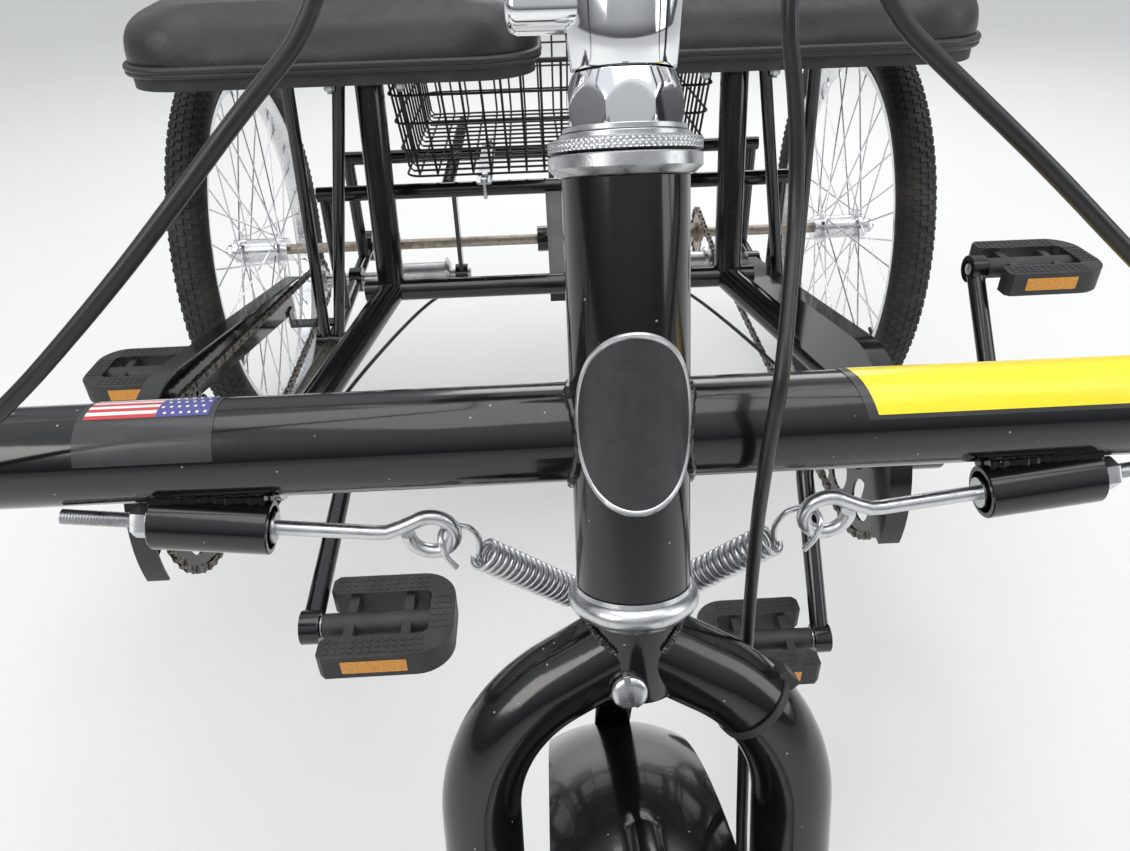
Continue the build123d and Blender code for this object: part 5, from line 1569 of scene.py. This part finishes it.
def carrier_hardware():
    """Straps across the carrier bars, U-bolts with nuts, and the axle collars' screws."""
    straps = Shape()
    zinc = Shape()
    bar_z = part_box("carrier_frame")[1].z
    front_y = 0.375
    rear_y = 0.542
    bend_r = 0.0118
    outline = rounded_rectangle(0.010, (rear_y - front_y) / 2.0 + 0.016, 0.004, 4)
    for x in (-0.090, 0.090):
        middle = Vector((x, (front_y + rear_y) / 2.0, bar_z + 0.0001))
        straps.plate(outline, middle, X_AXIS, Y_AXIS, 0.0024, 0.0005)
        for y in (front_y, rear_y):
            bend = Vector((x, y, bar_z - 0.0095))
            path = [bend + wheel_out(-angle) * bend_r for angle in arc(0.0, 180.0, 13)]
            path = [path[0] + Z_AXIS * 0.016] + path + [path[-1] + Z_AXIS * 0.016]
            zinc.tube(path, 0.0024, 10)
            for edge in (-bend_r, bend_r):
                zinc.nut(Vector((x, y + edge, bar_z + 0.0026)), Z_AXIS, 0.008, 0.004)
    for x in (-0.0075, 0.0075):
        zinc.bolt(Vector((x, 0.266, 0.357)), Y_AXIS, 0.008, 0.0062, 0.0025, 0.003)
    piece("carrier_straps", straps, ZINC, "frame")
    piece("carrier_u_bolts", zinc, ZINC, "frame")


def guard_bolts():
    shape = Shape()
    for side, sign in SIDES:
        inner_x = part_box("chain_guard_" + side)[0 if sign > 0 else 1].x
        for y, z in ((0.3186, 0.3320), (0.3061, 0.3159)):
            shape.bolt(Vector((inner_x, y, z)), -X_AXIS * sign, 0.008, 0.0062, 0.0025, 0.002)
    piece("chain_guard_bolts", shape, ZINC, "frame")


headset_cups()
head_tube()
fork_crown()
fork_legs()
knurled_ring()
locknut()
stem_taper()
head_badge()
crossbar()
crown_welds()
bar_plugs()
eye_bolts()
centring_springs()
cables()
zip_tie()
crown_bolt()
front_fender()
fender_hardware()
labels()
tyre("front_tyre", "front_wheel", FRONT_AXLE)
wheel_details("front_wheel", FRONT_AXLE, 0.257, 0.026, 0.0, 0.0)
for side, sign in SIDES:
    tyre("rear_tyre_" + side, "rear_wheel_" + side, REAR_AXLE[side])
    wheel_details("rear_wheel_" + side, REAR_AXLE[side], 0.305, 0.028, sign, 0.0425)
chains()
basket()
grips()
brake_lever()
stem_lug()
saddles()
pan_bolts()
pedals()
bracket_cups()
carrier_hardware()
guard_bolts()


# Stage, lamps and camera
def floor_and_backdrop():
    finish = Finish("studio_floor", (0.72, 0.72, 0.7), 0.85)
    finish.stain(1.4, 3.0, 0.3, 0.8, 0.3, (0.78, 0.78, 0.77))
    reach = 30.0
    shape = Shape()
    corners = ((-reach, -reach), (reach, -reach), (reach, reach), (-reach, reach))
    shape.verts = [Vector((x, y, 0.0)) for x, y in corners]
    shape.faces = [(0, 1, 2, 3)]
    piece("studio_floor", shape, finish)


def area_lamp(name, place, target, size, power, color=(1.0, 1.0, 1.0)):
    data = bpy.data.lights.new(name, "AREA")
    data.shape = "RECTANGLE"
    data.size = size[0]
    data.size_y = size[1]
    data.energy = power
    data.color = color
    lamp = bpy.data.objects.new(name, data)
    lamp.location = place
    aim = Vector(target) - Vector(place)
    lamp.rotation_euler = aim.to_track_quat("-Z", "Y").to_euler()
    scene.collection.objects.link(lamp)


def world_light():
    """Sky that grows brighter upward and that the camera sees as an even pale grey."""
    world = bpy.data.worlds.new("studio")
    world.use_nodes = True
    scene.world = world
    tree = world.node_tree
    lit = tree.nodes["Background"]
    lit.inputs["Color"].default_value = (0.93, 0.96, 1.0, 1.0)
    coords = tree.nodes.new("ShaderNodeTexCoord").outputs["Generated"]
    rise = make_node(tree, "SeparateXYZ", [("Vector", coords)], ()).outputs["Z"]
    tree.links.new(remap(tree, rise, 0.03, 0.7, 0.1, 0.95), lit.inputs["Strength"])
    seen = make_node(tree, "Background", (), [("Color", (0.9, 0.9, 0.9, 1.0)), ("Strength", 1.0)])
    ray = tree.nodes.new("ShaderNodeLightPath").outputs
    either = make_node(tree, "Math", [(0, ray["Is Camera Ray"]), (1, ray["Is Transmission Ray"])], ())
    either.operation = "MAXIMUM"
    wires = [("Fac", either.outputs["Value"]), (1, lit.outputs["Background"]), (2, seen.outputs["Background"])]
    mix = make_node(tree, "MixShader", wires, ())
    tree.links.new(mix.outputs["Shader"], tree.nodes["World Output"].inputs["Surface"])


CAMERA_AT = Vector((-0.0272, -0.6842, 0.7831))
CAMERA_PITCH = math.radians(33.494)
CAMERA_YAW = math.radians(1.685)
CAMERA_ROLL = math.radians(-1.777)
FOCAL_PX = 817.0
PHOTO_W = 1130.0
SENSOR_MM = 36.0


def photo_camera():
    data = bpy.data.cameras.new("photo_camera")
    data.sensor_fit = "HORIZONTAL"
    data.sensor_width = SENSOR_MM
    data.lens = FOCAL_PX / PHOTO_W * SENSOR_MM
    data.clip_start = 0.01
    data.clip_end = 100.0
    ahead = turned(turned(Y_AXIS, X_AXIS, CAMERA_YAW), -Z_AXIS, CAMERA_PITCH)
    level_right = turned(X_AXIS, -Y_AXIS, CAMERA_YAW)
    level_up = level_right.cross(ahead)
    right = turned(level_right, level_up, CAMERA_ROLL)
    up = turned(level_up, -level_right, CAMERA_ROLL)
    holder = bpy.data.objects.new("photo_camera", data)
    holder.matrix_world = Matrix.Translation(CAMERA_AT) @ Matrix((right, up, -ahead)).transposed().to_4x4()
    scene.collection.objects.link(holder)
    scene.camera = holder


floor_and_backdrop()
area_lamp("overhead", (0.2, -0.4, 3.6), (0.0, 0.0, 0.5), (3.2, 3.2), 62.0)
area_lamp("key", (-2.6, -2.4, 2.6), (0.0, 0.0, 0.5), (1.8, 1.8), 48.0, (1.0, 0.98, 0.95))
area_lamp("fill", (3.0, -1.2, 1.8), (0.0, 0.0, 0.5), (1.6, 2.2), 26.0, (0.95, 0.98, 1.0))
area_lamp("behind", (0.6, 3.4, 2.4), (0.0, 0.2, 0.4), (2.4, 1.4), 34.0)
world_light()
photo_camera()
scene.view_settings.view_transform = "Standard"
